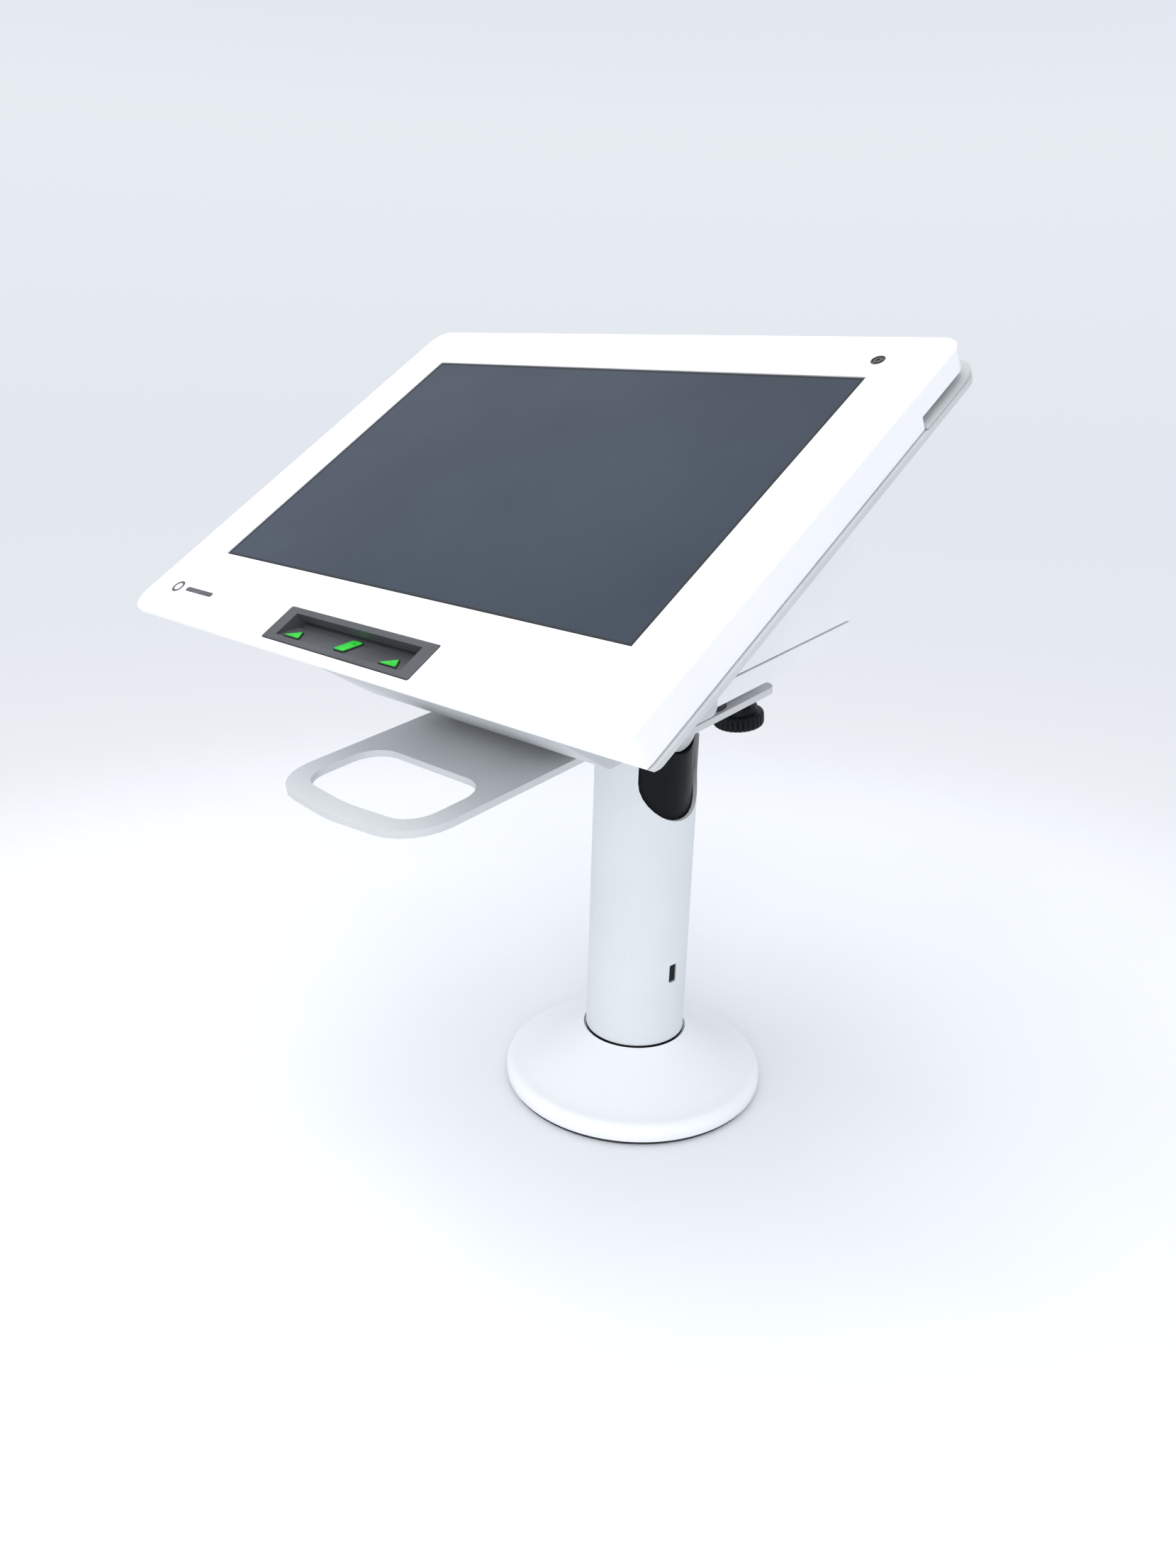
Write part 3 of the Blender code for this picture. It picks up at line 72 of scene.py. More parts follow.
NODES = frame["nodes"]
BODY_OF = {node: body for body, nodes in RECORD["behaviour"]["bodies"].items() for node in nodes}
SLOT_OF = {part["node"]: part["material_slot"] for part in RECORD["subparts"]}
MOUNTS = {mount["name"]: mount for mount in RECORD["mounts"]}
JOINTS = {joint["name"]: joint for joint in RECORD["behaviour"]["joints"]}

# ---------------------------------------------------------------- local frames

TRIM_FACE_UP = 0.0046
TRIM_PROUD = 0.0002

RIGHT = np.array((1.0, 0.0, 0.0))
FACE_OUT = np.array(MOUNTS["card_trim_face"]["axis"], float)
FACE_UP = np.array((0.0, FACE_OUT[2], -FACE_OUT[1]))
FACE_AT = np.array(MOUNTS["card_trim_face"]["pos_m"], float) - TRIM_FACE_UP * FACE_UP - TRIM_PROUD * FACE_OUT


def on_face(x, y, z):
    """Points of the screen panel: x across, y up the slope from its lower edge, z out of the face."""
    x, y, z = np.broadcast_arrays(x, y, z)
    return FACE_AT + x[..., None] * RIGHT + y[..., None] * FACE_UP + z[..., None] * FACE_OUT


def points_of(node):
    """Every point of a CAD node's mesh."""
    vertices = NODES[node].data.vertices
    points = np.empty(len(vertices) * 3, np.float32)
    vertices.foreach_get("co", points)
    return points.reshape(-1, 3)


# ---------------------------------------------------------------- finishes

class Finish:
    """A Principled surface with nodes on Object coordinates; each call adds one layer of detail."""

    def __init__(self, name, colour, roughness, metallic=0.0, specular=0.5):
        self.material = bpy.data.materials.new(name)
        self.material.use_nodes = True
        self.nodes = self.material.node_tree.nodes
        self.links = self.material.node_tree.links
        self.surface = self.nodes["Principled BSDF"]
        self.surface.inputs["Base Color"].default_value = (*colour, 1.0)
        self.surface.inputs["Roughness"].default_value = roughness
        self.surface.inputs["Metallic"].default_value = metallic
        self.surface.inputs["Specular IOR Level"].default_value = specular
        self.colour = None
        self.plain = (*colour, 1.0)
        self.roughness = roughness
        self.height = None
        self.place = self.nodes.new("ShaderNodeTexCoord").outputs["Object"]

    def noise(self, scale, detail=2.0, stretch=(1.0, 1.0, 1.0)):
        """A value from 0 to 1 that drifts through the piece, and may be stretched along an axis."""
        mapping = self.nodes.new("ShaderNodeMapping")
        mapping.inputs["Scale"].default_value = stretch
        self.links.new(self.place, mapping.inputs["Vector"])
        texture = self.nodes.new("ShaderNodeTexNoise")
        texture.inputs["Scale"].default_value = scale
        texture.inputs["Detail"].default_value = detail
        self.links.new(mapping.outputs["Vector"], texture.inputs["Vector"])
        return texture.outputs["Fac"]

    def span(self, value, low, high, to_low, to_high):
        """The value carried from one range to another, and held at its ends."""
        node = self.nodes.new("ShaderNodeMapRange")
        for socket, number in zip(("From Min", "From Max", "To Min", "To Max"), (low, high, to_low, to_high)):
            node.inputs[socket].default_value = number
        self.links.new(value, node.inputs["Value"])
        return node.outputs["Result"]

    def blend_colour(self, amount, colour):
        """Lays a colour over what is there, by an amount from 0 to 1."""
        mix = self.nodes.new("ShaderNodeMix")
        mix.data_type = "RGBA"
        self.links.new(amount, mix.inputs["Factor"])
        if self.colour is None:
            mix.inputs[6].default_value = self.plain
        else:
            self.links.new(self.colour, mix.inputs[6])
        mix.inputs[7].default_value = (*colour, 1.0)
        self.colour = mix.outputs[2]
        self.links.new(self.colour, self.surface.inputs["Base Color"])
        return self

    def clouds(self, scale, colour, most=1.0):
        """Slow variation of colour, as in moulded plastic or sprayed paint."""
        return self.blend_colour(self.span(self.noise(scale, 3.0), 0.38, 0.66, 0.0, most), colour)

    def specks(self, scale, size, colour, most=0.8):
        """Sparse small dots of dust or pigment: near the centres of cells, and only in some cells."""
        cells = self.nodes.new("ShaderNodeTexVoronoi")
        cells.inputs["Scale"].default_value = scale
        self.links.new(self.place, cells.inputs["Vector"])
        near = self.span(cells.outputs["Distance"], size * 0.5, size, 1.0, 0.0)
        rare = self.span(self.noise(scale * 0.31, 1.0), 0.60, 0.63, 0.0, most)
        both = self.nodes.new("ShaderNodeMath")
        both.operation = "MULTIPLY"
        self.links.new(near, both.inputs[0])
        self.links.new(rare, both.inputs[1])
        return self.blend_colour(both.outputs["Value"], colour)

    def smudges(self, scale, spread):
        """Roughness that drifts, as on handled plastic."""
        least, most = self.roughness - spread, self.roughness + spread
        value = self.span(self.noise(scale, 4.0), 0.35, 0.68, least, most)
        self.links.new(value, self.surface.inputs["Roughness"])
        return self

    def bump(self, height, strength, distance):
        """Adds relief on top of what is there."""
        node = self.nodes.new("ShaderNodeBump")
        node.inputs["Strength"].default_value = strength
        node.inputs["Distance"].default_value = distance
        self.links.new(height, node.inputs["Height"])
        if self.height is not None:
            self.links.new(self.height, node.inputs["Normal"])
        self.height = node.outputs["Normal"]
        self.links.new(self.height, self.surface.inputs["Normal"])
        return self

    def grain(self, scale, strength, distance, detail=2.0, stretch=(1.0, 1.0, 1.0)):
        """Fine relief, as the skin of a moulding or the marks of a tool."""
        return self.bump(self.noise(scale, detail, stretch), strength, distance)

    def coat(self, weight, roughness):
        """A clear gloss layer."""
        self.surface.inputs["Coat Weight"].default_value = weight
        self.surface.inputs["Coat Roughness"].default_value = roughness
        return self

    def fade_along(self, axis, low, high, colour, most=1.0):
        """Another colour, coming in along one Object axis between two places."""
        parts = self.nodes.new("ShaderNodeSeparateXYZ")
        self.links.new(self.place, parts.inputs["Vector"])
        return self.blend_colour(self.span(parts.outputs[axis], low, high, 0.0, most), colour)

    def glow(self, colour, strength):
        """Light of its own."""
        self.surface.inputs["Emission Color"].default_value = (*colour, 1.0)
        self.surface.inputs["Emission Strength"].default_value = strength
        return self


def make_plastics():
    """The finishes of the mouldings, the painted metal and the rubber."""
    return {
        "white_gloss_plastic": Finish("gloss white casing", (0.90, 0.90, 0.915), 0.22)
        .clouds(30, (0.87, 0.875, 0.90), 0.8).specks(210, 0.045, (0.42, 0.42, 0.45))
        .smudges(22, 0.06).grain(1900, 0.10, 0.00002).coat(0.35, 0.12),
        "white_satin": Finish("satin white mouldings", (0.86, 0.87, 0.88), 0.42)
        .clouds(34, (0.82, 0.835, 0.855), 0.8).specks(230, 0.05, (0.45, 0.45, 0.48), 0.6)
        .smudges(26, 0.07).grain(1500, 0.16, 0.00003),
        "white_powder_coat": Finish("white powder coat", (0.735, 0.765, 0.77), 0.46)
        .clouds(28, (0.70, 0.73, 0.74), 0.8).smudges(24, 0.07)
        .grain(720, 0.20, 0.00004, 3.0).grain(2600, 0.10, 0.00002),
        "white_base": Finish("bright white base", (0.95, 0.955, 0.96), 0.44)
        .clouds(30, (0.92, 0.93, 0.945), 0.8).specks(2600, 0.16, (0.80, 0.80, 0.80), 0.5)
        .smudges(50, 0.05).grain(2400, 0.06, 0.00002),
        # Painted shade: this grey stands in for the shade on the back shell's rim side, which faces down and back.
        "grey_satin_plastic": Finish("back shell grey as painted rim shade", (0.58, 0.60, 0.605), 0.44)
        .clouds(32, (0.53, 0.55, 0.56), 0.8).smudges(24, 0.07).grain(1700, 0.18, 0.00003),
        "grey_coated_plate": Finish("powder coated plate", (0.60, 0.615, 0.62), 0.48)
        .clouds(26, (0.56, 0.575, 0.585), 0.8).smudges(20, 0.08)
        .grain(680, 0.22, 0.00004, 3.0).grain(2400, 0.12, 0.00002),
        "light_grey_plastic": Finish("light grey plastic", (0.52, 0.54, 0.54), 0.45)
        .clouds(40, (0.47, 0.49, 0.49)).smudges(30, 0.06).grain(1600, 0.15, 0.00003),
        "dark_grey_plastic": Finish("textured dark grey trim", (0.072, 0.076, 0.082), 0.50)
        .clouds(60, (0.058, 0.061, 0.067)).smudges(40, 0.07).grain(2300, 0.45, 0.00005, 3.0),
        "black_plastic": Finish("black moulding", (0.0035, 0.0045, 0.0060), 0.42, specular=0.14)
        .clouds(70, (0.006, 0.007, 0.009)).smudges(46, 0.09).grain(2100, 0.30, 0.00004, 3.0),
        "black_rubber": Finish("black rubber", (0.020, 0.020, 0.021), 0.72)
        .clouds(80, (0.034, 0.034, 0.035)).smudges(50, 0.07).grain(1300, 0.40, 0.00006, 3.0),
        # This black is also the painted shade of the rims and of the gap sheet in the card reader.
        "recess": Finish("black recess", (0.010, 0.010, 0.011), 0.62)
        .clouds(120, (0.016, 0.016, 0.018)).smudges(60, 0.06).grain(1800, 0.20, 0.00003),
        "print": Finish("dark grey print", (0.075, 0.077, 0.082), 0.40)
        .clouds(160, (0.095, 0.097, 0.10)).smudges(90, 0.06).grain(2600, 0.20, 0.00002),
    }


def make_glass_and_lights():
    """The finishes of the display, the camera's lens and the lit marks."""
    return {
        "screen_glass": Finish("dark display glass", (0.030, 0.043, 0.061), 0.34, specular=0.22)
        .fade_along("X", 0.0, 0.110, (0.025, 0.036, 0.052), 0.7)
        .fade_along("Z", 0.215, 0.265, (0.024, 0.034, 0.048), 0.7)
        .clouds(14, (0.046, 0.063, 0.088), 0.5).smudges(16, 0.05).grain(5200, 0.05, 0.00001),
        "lens_glass": Finish("smoked lens", (0.030, 0.031, 0.034), 0.16)
        .clouds(240, (0.060, 0.060, 0.064), 0.7).smudges(180, 0.05).coat(0.8, 0.05),
        "green_light": Finish("lit green marks", (0.010, 0.42, 0.022), 0.46)
        .clouds(420, (0.030, 0.60, 0.040), 0.8).smudges(120, 0.06).grain(2600, 0.12, 0.00002)
        .glow((0.02, 0.62, 0.04), 0.18),
    }


def make_metals_and_paper():
    """The finishes of the metal pieces, the board and the roll."""
    return {
        "steel": Finish("turned steel", (0.56, 0.57, 0.58), 0.30, 1.0).clouds(60, (0.48, 0.49, 0.50))
        .smudges(70, 0.08).grain(900, 0.14, 0.00002, 2.0, (1.0, 1.0, 9.0)),
        "zinc_plated_steel": Finish("zinc plated steel", (0.60, 0.61, 0.63), 0.38, 1.0)
        .clouds(48, (0.50, 0.52, 0.56)).smudges(60, 0.10).grain(1100, 0.18, 0.00002),
        "aluminium": Finish("cast aluminium", (0.66, 0.67, 0.68), 0.36, 1.0).clouds(44, (0.58, 0.59, 0.60))
        .smudges(50, 0.08).grain(1000, 0.16, 0.00002, 2.0, (7.0, 1.0, 1.0)),
        "display_frame": Finish("display frame", (0.42, 0.43, 0.45), 0.40, 0.8)
        .clouds(40, (0.36, 0.37, 0.39)).smudges(50, 0.08).grain(1200, 0.14, 0.00002),
        "brass": Finish("brass", (0.66, 0.47, 0.20), 0.34, 1.0)
        .clouds(120, (0.52, 0.35, 0.14)).smudges(90, 0.09).grain(1500, 0.16, 0.00002),
        "circuit_board": Finish("circuit board", (0.012, 0.075, 0.034), 0.44)
        .clouds(420, (0.030, 0.13, 0.060)).smudges(90, 0.08).grain(900, 0.30, 0.00005),
        "paper": Finish("receipt paper", (0.88, 0.87, 0.84), 0.70)
        .clouds(90, (0.83, 0.82, 0.79)).smudges(60, 0.05).grain(900, 0.35, 0.00004, 3.0),
    }


FINISHES = {**make_plastics(), **make_glass_and_lights(), **make_metals_and_paper()}


# ---------------------------------------------------------------- surfaces

def settle(name, mesh, body, look, replaces=()):
    """Puts a mesh into the scene as a piece that rides on a body."""
    mesh.materials.clear()
    mesh.materials.append(FINISHES[look].material)
    obj = bpy.data.objects.new(name, mesh)
    bpy.context.scene.collection.objects.link(obj)
    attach(obj, body)
    if replaces:
        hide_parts(*replaces)
    return obj


def grid(name, points, body, look, replaces=()):
    """A closed sheet of quads from points[i, j]: i runs round and joins its end, j runs along and is capped by a fan
    at each end. points has the shape rounds x steps x 3."""
    rounds, steps = points.shape[:2]
    index = np.arange(rounds * steps).reshape(rounds, steps)
    after = np.roll(index, -1, axis=0)
    quads = np.stack((index[:, :-1], after[:, :-1], after[:, 1:], index[:, 1:]), axis=-1).reshape(-1, 4)
    middles = np.stack((points[:, 0].mean(axis=0), points[:, -1].mean(axis=0)))
    count = rounds * steps
    start = np.stack((np.full(rounds, count), after[:, 0], index[:, 0]), axis=-1)
    end = np.stack((np.full(rounds, count + 1), index[:, -1], after[:, -1]), axis=-1)
    corners = np.concatenate((points.reshape(-1, 3), middles))
    return filled(name, corners, quads, np.concatenate((start, end)), body, look, replaces)


def ring(name, points, body, look, replaces=()):
    """A closed tube of quads from points[i, j]: both i, round the piece, and j, round its section, join their ends."""
    rounds, steps = points.shape[:2]
    index = np.arange(rounds * steps).reshape(rounds, steps)
    after = np.roll(index, -1, axis=0)
    quads = np.stack((index, after, np.roll(after, -1, axis=1), np.roll(index, -1, axis=1)), axis=-1)
    no_triangles = np.zeros((0, 3), int)
    return filled(name, points.reshape(-1, 3), quads.reshape(-1, 4), no_triangles, body, look, replaces)


def filled(name, points, quads, triangles, body, look, replaces):
    """A smooth mesh from arrays of points, quads and triangles, with its faces turned outwards."""
    mesh = bpy.data.meshes.new(name)
    mesh.vertices.add(len(points))
    mesh.vertices.foreach_set("co", np.ascontiguousarray(points, np.float32).ravel())
    corners = np.concatenate((quads.ravel(), triangles.ravel())).astype(np.int32)
    starts = np.concatenate((np.arange(len(quads)) * 4, len(quads) * 4 + np.arange(len(triangles)) * 3))
    mesh.loops.add(len(corners))
    mesh.loops.foreach_set("vertex_index", corners)
    mesh.polygons.add(len(starts))
    mesh.polygons.foreach_set("loop_start", starts.astype(np.int32))
    mesh.update(calc_edges=True)
    shape = bmesh.new()
    shape.from_mesh(mesh)
    bmesh.ops.recalc_face_normals(shape, faces=shape.faces)
    shape.to_mesh(mesh)
    shape.free()
    mesh.polygons.foreach_set("use_smooth", np.full(len(mesh.polygons), True))
    mesh.set_sharp_from_angle(angle=math.radians(38))
    return settle(name, mesh, body, look, replaces)


def turn_of(sides):
    """Angles evenly round one turn."""
    return np.arange(sides) * (2 * math.pi / sides)


def circle(radius, sides):
    """A circle, as (x, y) rows: the cosine and the sine of the turn, times the radius."""
    angle = turn_of(sides)
    return radius * np.stack((np.cos(angle), np.sin(angle)), axis=-1)


def turned(profile, sides):
    """A profile of (radius, height) rows carried round the upright axis, with x and y as in a circle."""
    angle = turn_of(sides)[:, None]
    radius, height = profile[None, :, 0], profile[None, :, 1]
    return np.stack(np.broadcast_arrays(radius * np.cos(angle), radius * np.sin(angle), height), axis=-1)


def rounded_loop(half_x, half_y, radius, corner_steps=9):
    """A rectangle with rounded corners, as (x, y) rows: each corner is a quarter circle about its own centre."""
    quarter = np.linspace(0.0, math.pi / 2, corner_steps)
    centres = np.array(((1, 1), (-1, 1), (-1, -1), (1, -1))) * (half_x - radius, half_y - radius)
    angles = quarter[None, :] + np.arange(4)[:, None] * (math.pi / 2)
    loop = centres[:, None, :] + radius * np.stack((np.cos(angles), np.sin(angles)), axis=-1)
    return loop.reshape(-1, 2)


def bar(name, loop, centre, steps, place, body, look):
    """A flat bar: the loop is shrunk towards its centre by each step's share as it goes through the heights.
    steps holds (share of the loop's size, height) from the bottom to the top."""
    steps = np.array(steps)
    x = centre[0] + loop[:, None, 0] * steps[None, :, 0]
    y = centre[1] + loop[:, None, 1] * steps[None, :, 0]
    return grid(name, place(x, y, steps[None, :, 1]), body, look)


def border(name, outer, inner, centre, heights, place, body, look):
    """A flat frame between two loops of the same length: its section is a rectangle between the two heights."""
    low, high = heights
    loops = np.stack((outer, outer, inner, inner), axis=1)
    level = np.array((low, high, high, low))[None, :]
    return ring(name, place(centre[0] + loops[..., 0], centre[1] + loops[..., 1], level), body, look)


def refined(node, edge, turn=34):
    """A merged copy of a CAD node with its hard edges rounded. Its form is the node's own."""
    mesh = NODES[node].data.copy()
    shape = bmesh.new()
    shape.from_mesh(mesh)
    bmesh.ops.remove_doubles(shape, verts=shape.verts, dist=2e-6)
    bmesh.ops.dissolve_limit(shape, angle_limit=math.radians(0.6), verts=shape.verts, edges=shape.edges)
    for face in shape.faces:
        face.smooth = True
    shape.to_mesh(mesh)
    shape.free()
    mesh.set_sharp_from_angle(angle=math.radians(turn))
    piece = settle(f"{node}_finished", mesh, BODY_OF[node], SLOT_OF[node], (node,))
    round_edges = piece.modifiers.new("rounded edges", "BEVEL")
    round_edges.width = edge
    round_edges.segments = 3
    round_edges.limit_method = "ANGLE"
    round_edges.angle_limit = math.radians(turn)
    round_edges.use_clamp_overlap = True
    round_edges.miter_outer = "MITER_ARC"
    flat_faces = piece.modifiers.new("flat faces stay flat", "WEIGHTED_NORMAL")
    flat_faces.keep_sharp = True
    flat_faces.weight = 80
    return piece


# ---------------------------------------------------------------- stand

COVER_EDGE = 0.0035
COVER_RIM = 0.0080
COVER_FALL = 1.45
COVER_WALL = 0.0020
COVER_PLAY = 0.0007

SEAL_PLAY = 0.00005
SEAL_WIDTH = 0.00050
SEAL_DEPTH = 0.0007
SEAL_HEIGHT = 0.0005

KNOB_RIM = 0.0052
KNOB_STEP = 0.0022
KNOB_HUB = 0.0055
KNOB_STUD = 0.0018
KNOB_RIBS = 30
KNOB_RIB_DEPTH = 0.00055


def make_base_cover():
    """The round foot cover, turned: its height falls from the pole to the rim as (1 - t) to the power COVER_FALL,
    with t the share of the way out; the rim is a quarter circle; the inside follows the outside at one wall."""
    low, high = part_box("base_cover")
    radius, bottom, top = high.x, low.z, high.z
    inner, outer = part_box("pole")[1].x + COVER_PLAY, radius - COVER_EDGE
    t = np.linspace(0.0, 1.0, 22)
    height = COVER_RIM + (top - COVER_RIM) * (1 - t) ** COVER_FALL
    flare = np.stack((inner + (outer - inner) * t, height), axis=-1)
    lip = np.array(((inner - 0.0001, top - 0.0006), (inner + 0.0002, top - 0.0001)))
    bow = np.radians(np.linspace(14, 90, 10))
    bow_centre = COVER_RIM - COVER_EDGE
    edge = np.stack((outer + COVER_EDGE * np.sin(bow), bow_centre + COVER_EDGE * np.cos(bow)), axis=-1)
    foot = np.array(((radius, bottom + 0.0004), (radius - 0.0003, bottom),
                     (radius - COVER_WALL, bottom), (radius - COVER_WALL, bow_centre)))
    inside = flare[::-1] - (0.0004, COVER_WALL)
    inside = inside[inside[:, 0] > inner + 0.0008]
    mouth = ((inner + 0.0002, top - COVER_WALL),)
    profile = np.concatenate((lip, flare[1:], edge, foot, inside, mouth))
    ring("base_cover_turned", turned(profile, 192), BODY_OF["base_cover"], "white_base",
         ("base_cover",))


def make_knob(side):
    """A thumb knob, turned about its own axis: the rim's radius is scalloped by the cube of a cosine, and the
    scallops fade out towards the rim's two edges; a stepped hub and a plain stud stand on it."""
    node = f"thumb_knob_{side}"
    joint = JOINTS[f"knob_{side}_turn"]
    middle = np.array(joint["pos_m"])
    axis = np.array(joint["axis"], float)
    along = np.cross(axis, RIGHT)
    offset = points_of(node) - middle
    height = offset @ axis
    reach = np.linalg.norm(offset - height[:, None] * axis, axis=1).max()
    low, high = height.min(), height.max()
    rim = low + KNOB_RIM
    step = rim + KNOB_STEP
    hub = rim + KNOB_HUB
    profile = np.array((
        (0.0006, low + 0.0011), (reach * 0.55, low + 0.0011), (reach * 0.62, low + 0.0004),
        (reach - 0.0016, low), (reach - 0.0008, low + 0.0002), (reach - 0.0002, low + 0.0007),
        (reach, low + 0.0013), (reach, low + 0.0026), (reach, rim - 0.0012), (reach - 0.0002, rim - 0.0005),
        (reach - 0.0009, rim), (reach * 0.74, rim), (reach * 0.73, rim + 0.0002), (reach * 0.73, step - 0.0003),
        (reach * 0.70, step), (reach * 0.50, step), (reach * 0.50, hub - 0.0001), (reach * 0.46, hub),
        (KNOB_STUD, hub), (KNOB_STUD, high - 0.0004), (KNOB_STUD - 0.0004, high), (0.0010, high)))
    inwards = 1 - np.abs(profile[:, 1] - (low + KNOB_RIM / 2)) / (KNOB_RIM / 2)
    ribbed = np.clip(inwards, 0, 1) ** 0.35 * (profile[:, 0] > reach * 0.85)
    angle = turn_of(12 * KNOB_RIBS)[:, None]
    scallop = KNOB_RIB_DEPTH * (0.5 - 0.5 * np.cos(KNOB_RIBS * angle)) ** 3
    radius = profile[None, :, 0] - scallop * ribbed[None, :]
    spoke = np.cos(angle)[..., None] * RIGHT + np.sin(angle)[..., None] * along
    points = middle + radius[..., None] * spoke + profile[None, :, 1, None] * axis
    grid(f"{node}_knurled", points, BODY_OF[node], "black_plastic", replaces=(node,))


def make_pole_seal():
    """A thin ring where the pole stands in its cover, its section a small rectangle carried round in a circle."""
    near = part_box("pole")[1].x + SEAL_PLAY
    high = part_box("base_cover")[1].z - SEAL_DEPTH
    far, low = near + SEAL_WIDTH, high - SEAL_HEIGHT
    section = np.array(((near, low), (far, low), (far, high), (near, high)))
    ring("pole_gap_seal", turned(section, 128), BODY_OF["pole"], "light_grey_plastic")


# ---------------------------------------------------------------- screen panel

SCREEN_HALF = np.array((0.0861, 0.0538))
SCREEN_BOTTOM = 0.0306
BORDER_PLAY = 0.0001
BORDER_WIDTH = 0.0006

MARK_UP = 0.0126
MARK_RING_X, MARK_RING_RADIUS, MARK_RING_HOLE = -0.0915, 0.0024, 0.0015
MARK_BAR_X, MARK_BAR_HALF = -0.0790, (0.0075, 0.0009)


def make_screen_border():
    """The black line round the lit area: a flat frame just above the glass, between two rounded rectangles."""
    outer = rounded_loop(*(SCREEN_HALF - BORDER_PLAY), 0.0004, 4)
    inner = rounded_loop(*(SCREEN_HALF - BORDER_PLAY - BORDER_WIDTH), 0.0003, 4)
    glass = float(((points_of("touch_glass") - FACE_AT) @ FACE_OUT).max())
    border("screen_black_border", outer, inner, (0.0, SCREEN_BOTTOM + SCREEN_HALF[1]),
           (glass + 0.00001, glass + 0.00006), on_face, BODY_OF["touch_glass"], "recess")


def make_bezel_mark():
    """A plain mark of no maker at the lower left of the bezel: a small ring beside a rounded bar, printed in grey."""
    body = BODY_OF["front_casing"]
    border("bezel_mark_ring", circle(MARK_RING_RADIUS, 64), circle(MARK_RING_HOLE, 64), (MARK_RING_X, MARK_UP),
           (-0.00008, 0.00004), on_face, body, "print")
    bar("bezel_mark_bar", rounded_loop(*MARK_BAR_HALF, 0.00088), (MARK_BAR_X, MARK_UP),
        ((1.0, -0.00008), (1.0, 0.00002), (0.99, 0.00004)), on_face, body, "print")


def make_camera_rings():
    """The camera's bezel and its iris: two flat rings round the middle of the lens."""
    low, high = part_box("camera_lens")
    middle = (np.array(low) + np.array(high)) / 2 - FACE_AT
    centre = (middle @ RIGHT, middle @ FACE_UP)
    border("camera_ring", circle(0.00205, 72), circle(0.00172, 72), centre, (-0.00020, 0.00006), on_face,
           BODY_OF["front_casing"], "dark_grey_plastic")
    border("camera_iris", circle(0.00120, 72), circle(0.00060, 72), centre, (-0.00006, 0.00003), on_face,
           BODY_OF["camera_lens"], "lens_glass")


# ---------------------------------------------------------------- card reader

TRIM_WIDTH, TRIM_HIGH = 0.0653, 0.0128
TRIM_BOTTOM = 0.0036
TRIM_BORDER = 0.0020
RAMP_START, RAMP_DEPTH = 0.0003, 0.0043
ARROW_X = 0.0215
CARD_MARK_UP = 0.0044
# Heights of the dark rims of painted shade round the reader's lit marks.
MARK_SHADE_HEIGHTS = (0.00004, 0.00034)
# Depths of the black sheet of painted shade in the gap round the card reader.
GAP_SHADE_HEIGHTS = (-0.0030, -0.0004)


def on_ramp(x, along, out):
    """Points of the reader's floor: along runs up the slope from its lower edge, out is square to the floor."""
    low, high = TRIM_BOTTOM + TRIM_BORDER, TRIM_BOTTOM + TRIM_HIGH - TRIM_BORDER
    fall = math.atan2(RAMP_DEPTH - RAMP_START, high - low)
    x, along, out = np.broadcast_arrays(x, along, out)
    return on_face(x, low + along * math.cos(fall) + out * math.sin(fall),
                   -RAMP_START - along * math.sin(fall) + out * math.cos(fall))


def make_reader_mark_shade():
    """Painted shade round the three lit marks: thin dark rims, flat frames on the floor a little larger than the
    marks, that paint the shade of an inset.
    """

    def rim(name, outer, inner, centre):
        border(name, outer, inner, centre, MARK_SHADE_HEIGHTS, on_ramp, BODY_OF["card_reader_trim"], "recess")

    outer = np.array(((-0.0037, 0.0005), (0.0037, 0.0005), (0.0, 0.0049)))
    inner = np.array(((-0.0030, 0.0009), (0.0030, 0.0009), (0.0, 0.0043)))
    for label, x in (("left", -ARROW_X), ("right", ARROW_X)):
        rim(f"arrow_painted_shade_{label}", outer, inner, (x, 0.0))
    outer, inner = rounded_loop(0.0024, 0.0037, 0.0008, 5), rounded_loop(0.0019, 0.0032, 0.0006, 5)
    rim("card_mark_painted_shade", outer, inner, (0.0, CARD_MARK_UP))


def make_reader_gap_shade():
    """Painted shade in the gap between the card reader's frame and the casing: a black sheet between two rounded
    rectangles, sunk in the gap.
    """
    half = np.array((TRIM_WIDTH, TRIM_HIGH)) / 2
    outer, inner = rounded_loop(*(half + 0.00030), 0.0007, 5), rounded_loop(*(half + 0.00004), 0.0005, 5)
    border("reader_gap_shade", outer, inner, (0.0, TRIM_BOTTOM + half[1]), GAP_SHADE_HEIGHTS, on_face,
           BODY_OF["front_casing"], "recess")


# ---------------------------------------------------------------- camera, light, floor

CAMERA_AT = (0.26378, -0.31598, 0.26187)
CAMERA_TURN, CAMERA_FALL, CAMERA_ROLL = 42.74, 19.24, 1.76
CAMERA_LENS = 27.715

LIGHTS = (
    ("overhead softbox", (-0.05, -0.50, 1.25), (0.0, -0.05, 0.15), 1.3, 9.5, (1.0, 0.995, 0.985)),
    ("front softbox", (0.75, -0.90, 0.50), (0.0, -0.02, 0.02), 0.7, 3.8, (0.99, 1.0, 0.995)),
)

FLOOR_GAP = 0.0002
FLOOR_RADII = (0.0, 0.2, 0.35, 0.5, 0.7, 0.9, 1.2)
FLOOR_FADE = (0.27, 0.58)

SKY = (
    (0.0, (0.90, 0.92, 0.95)), (0.33, (0.90, 0.92, 0.96)), (0.40, (0.82, 0.85, 0.91)),
    (0.46, (0.80, 0.83, 0.90)), (0.58, (0.84, 0.88, 0.93)), (0.66, (0.75, 0.79, 0.89)),
    (1.0, (0.74, 0.76, 0.79)),
)
SKY_STRENGTH = 0.96


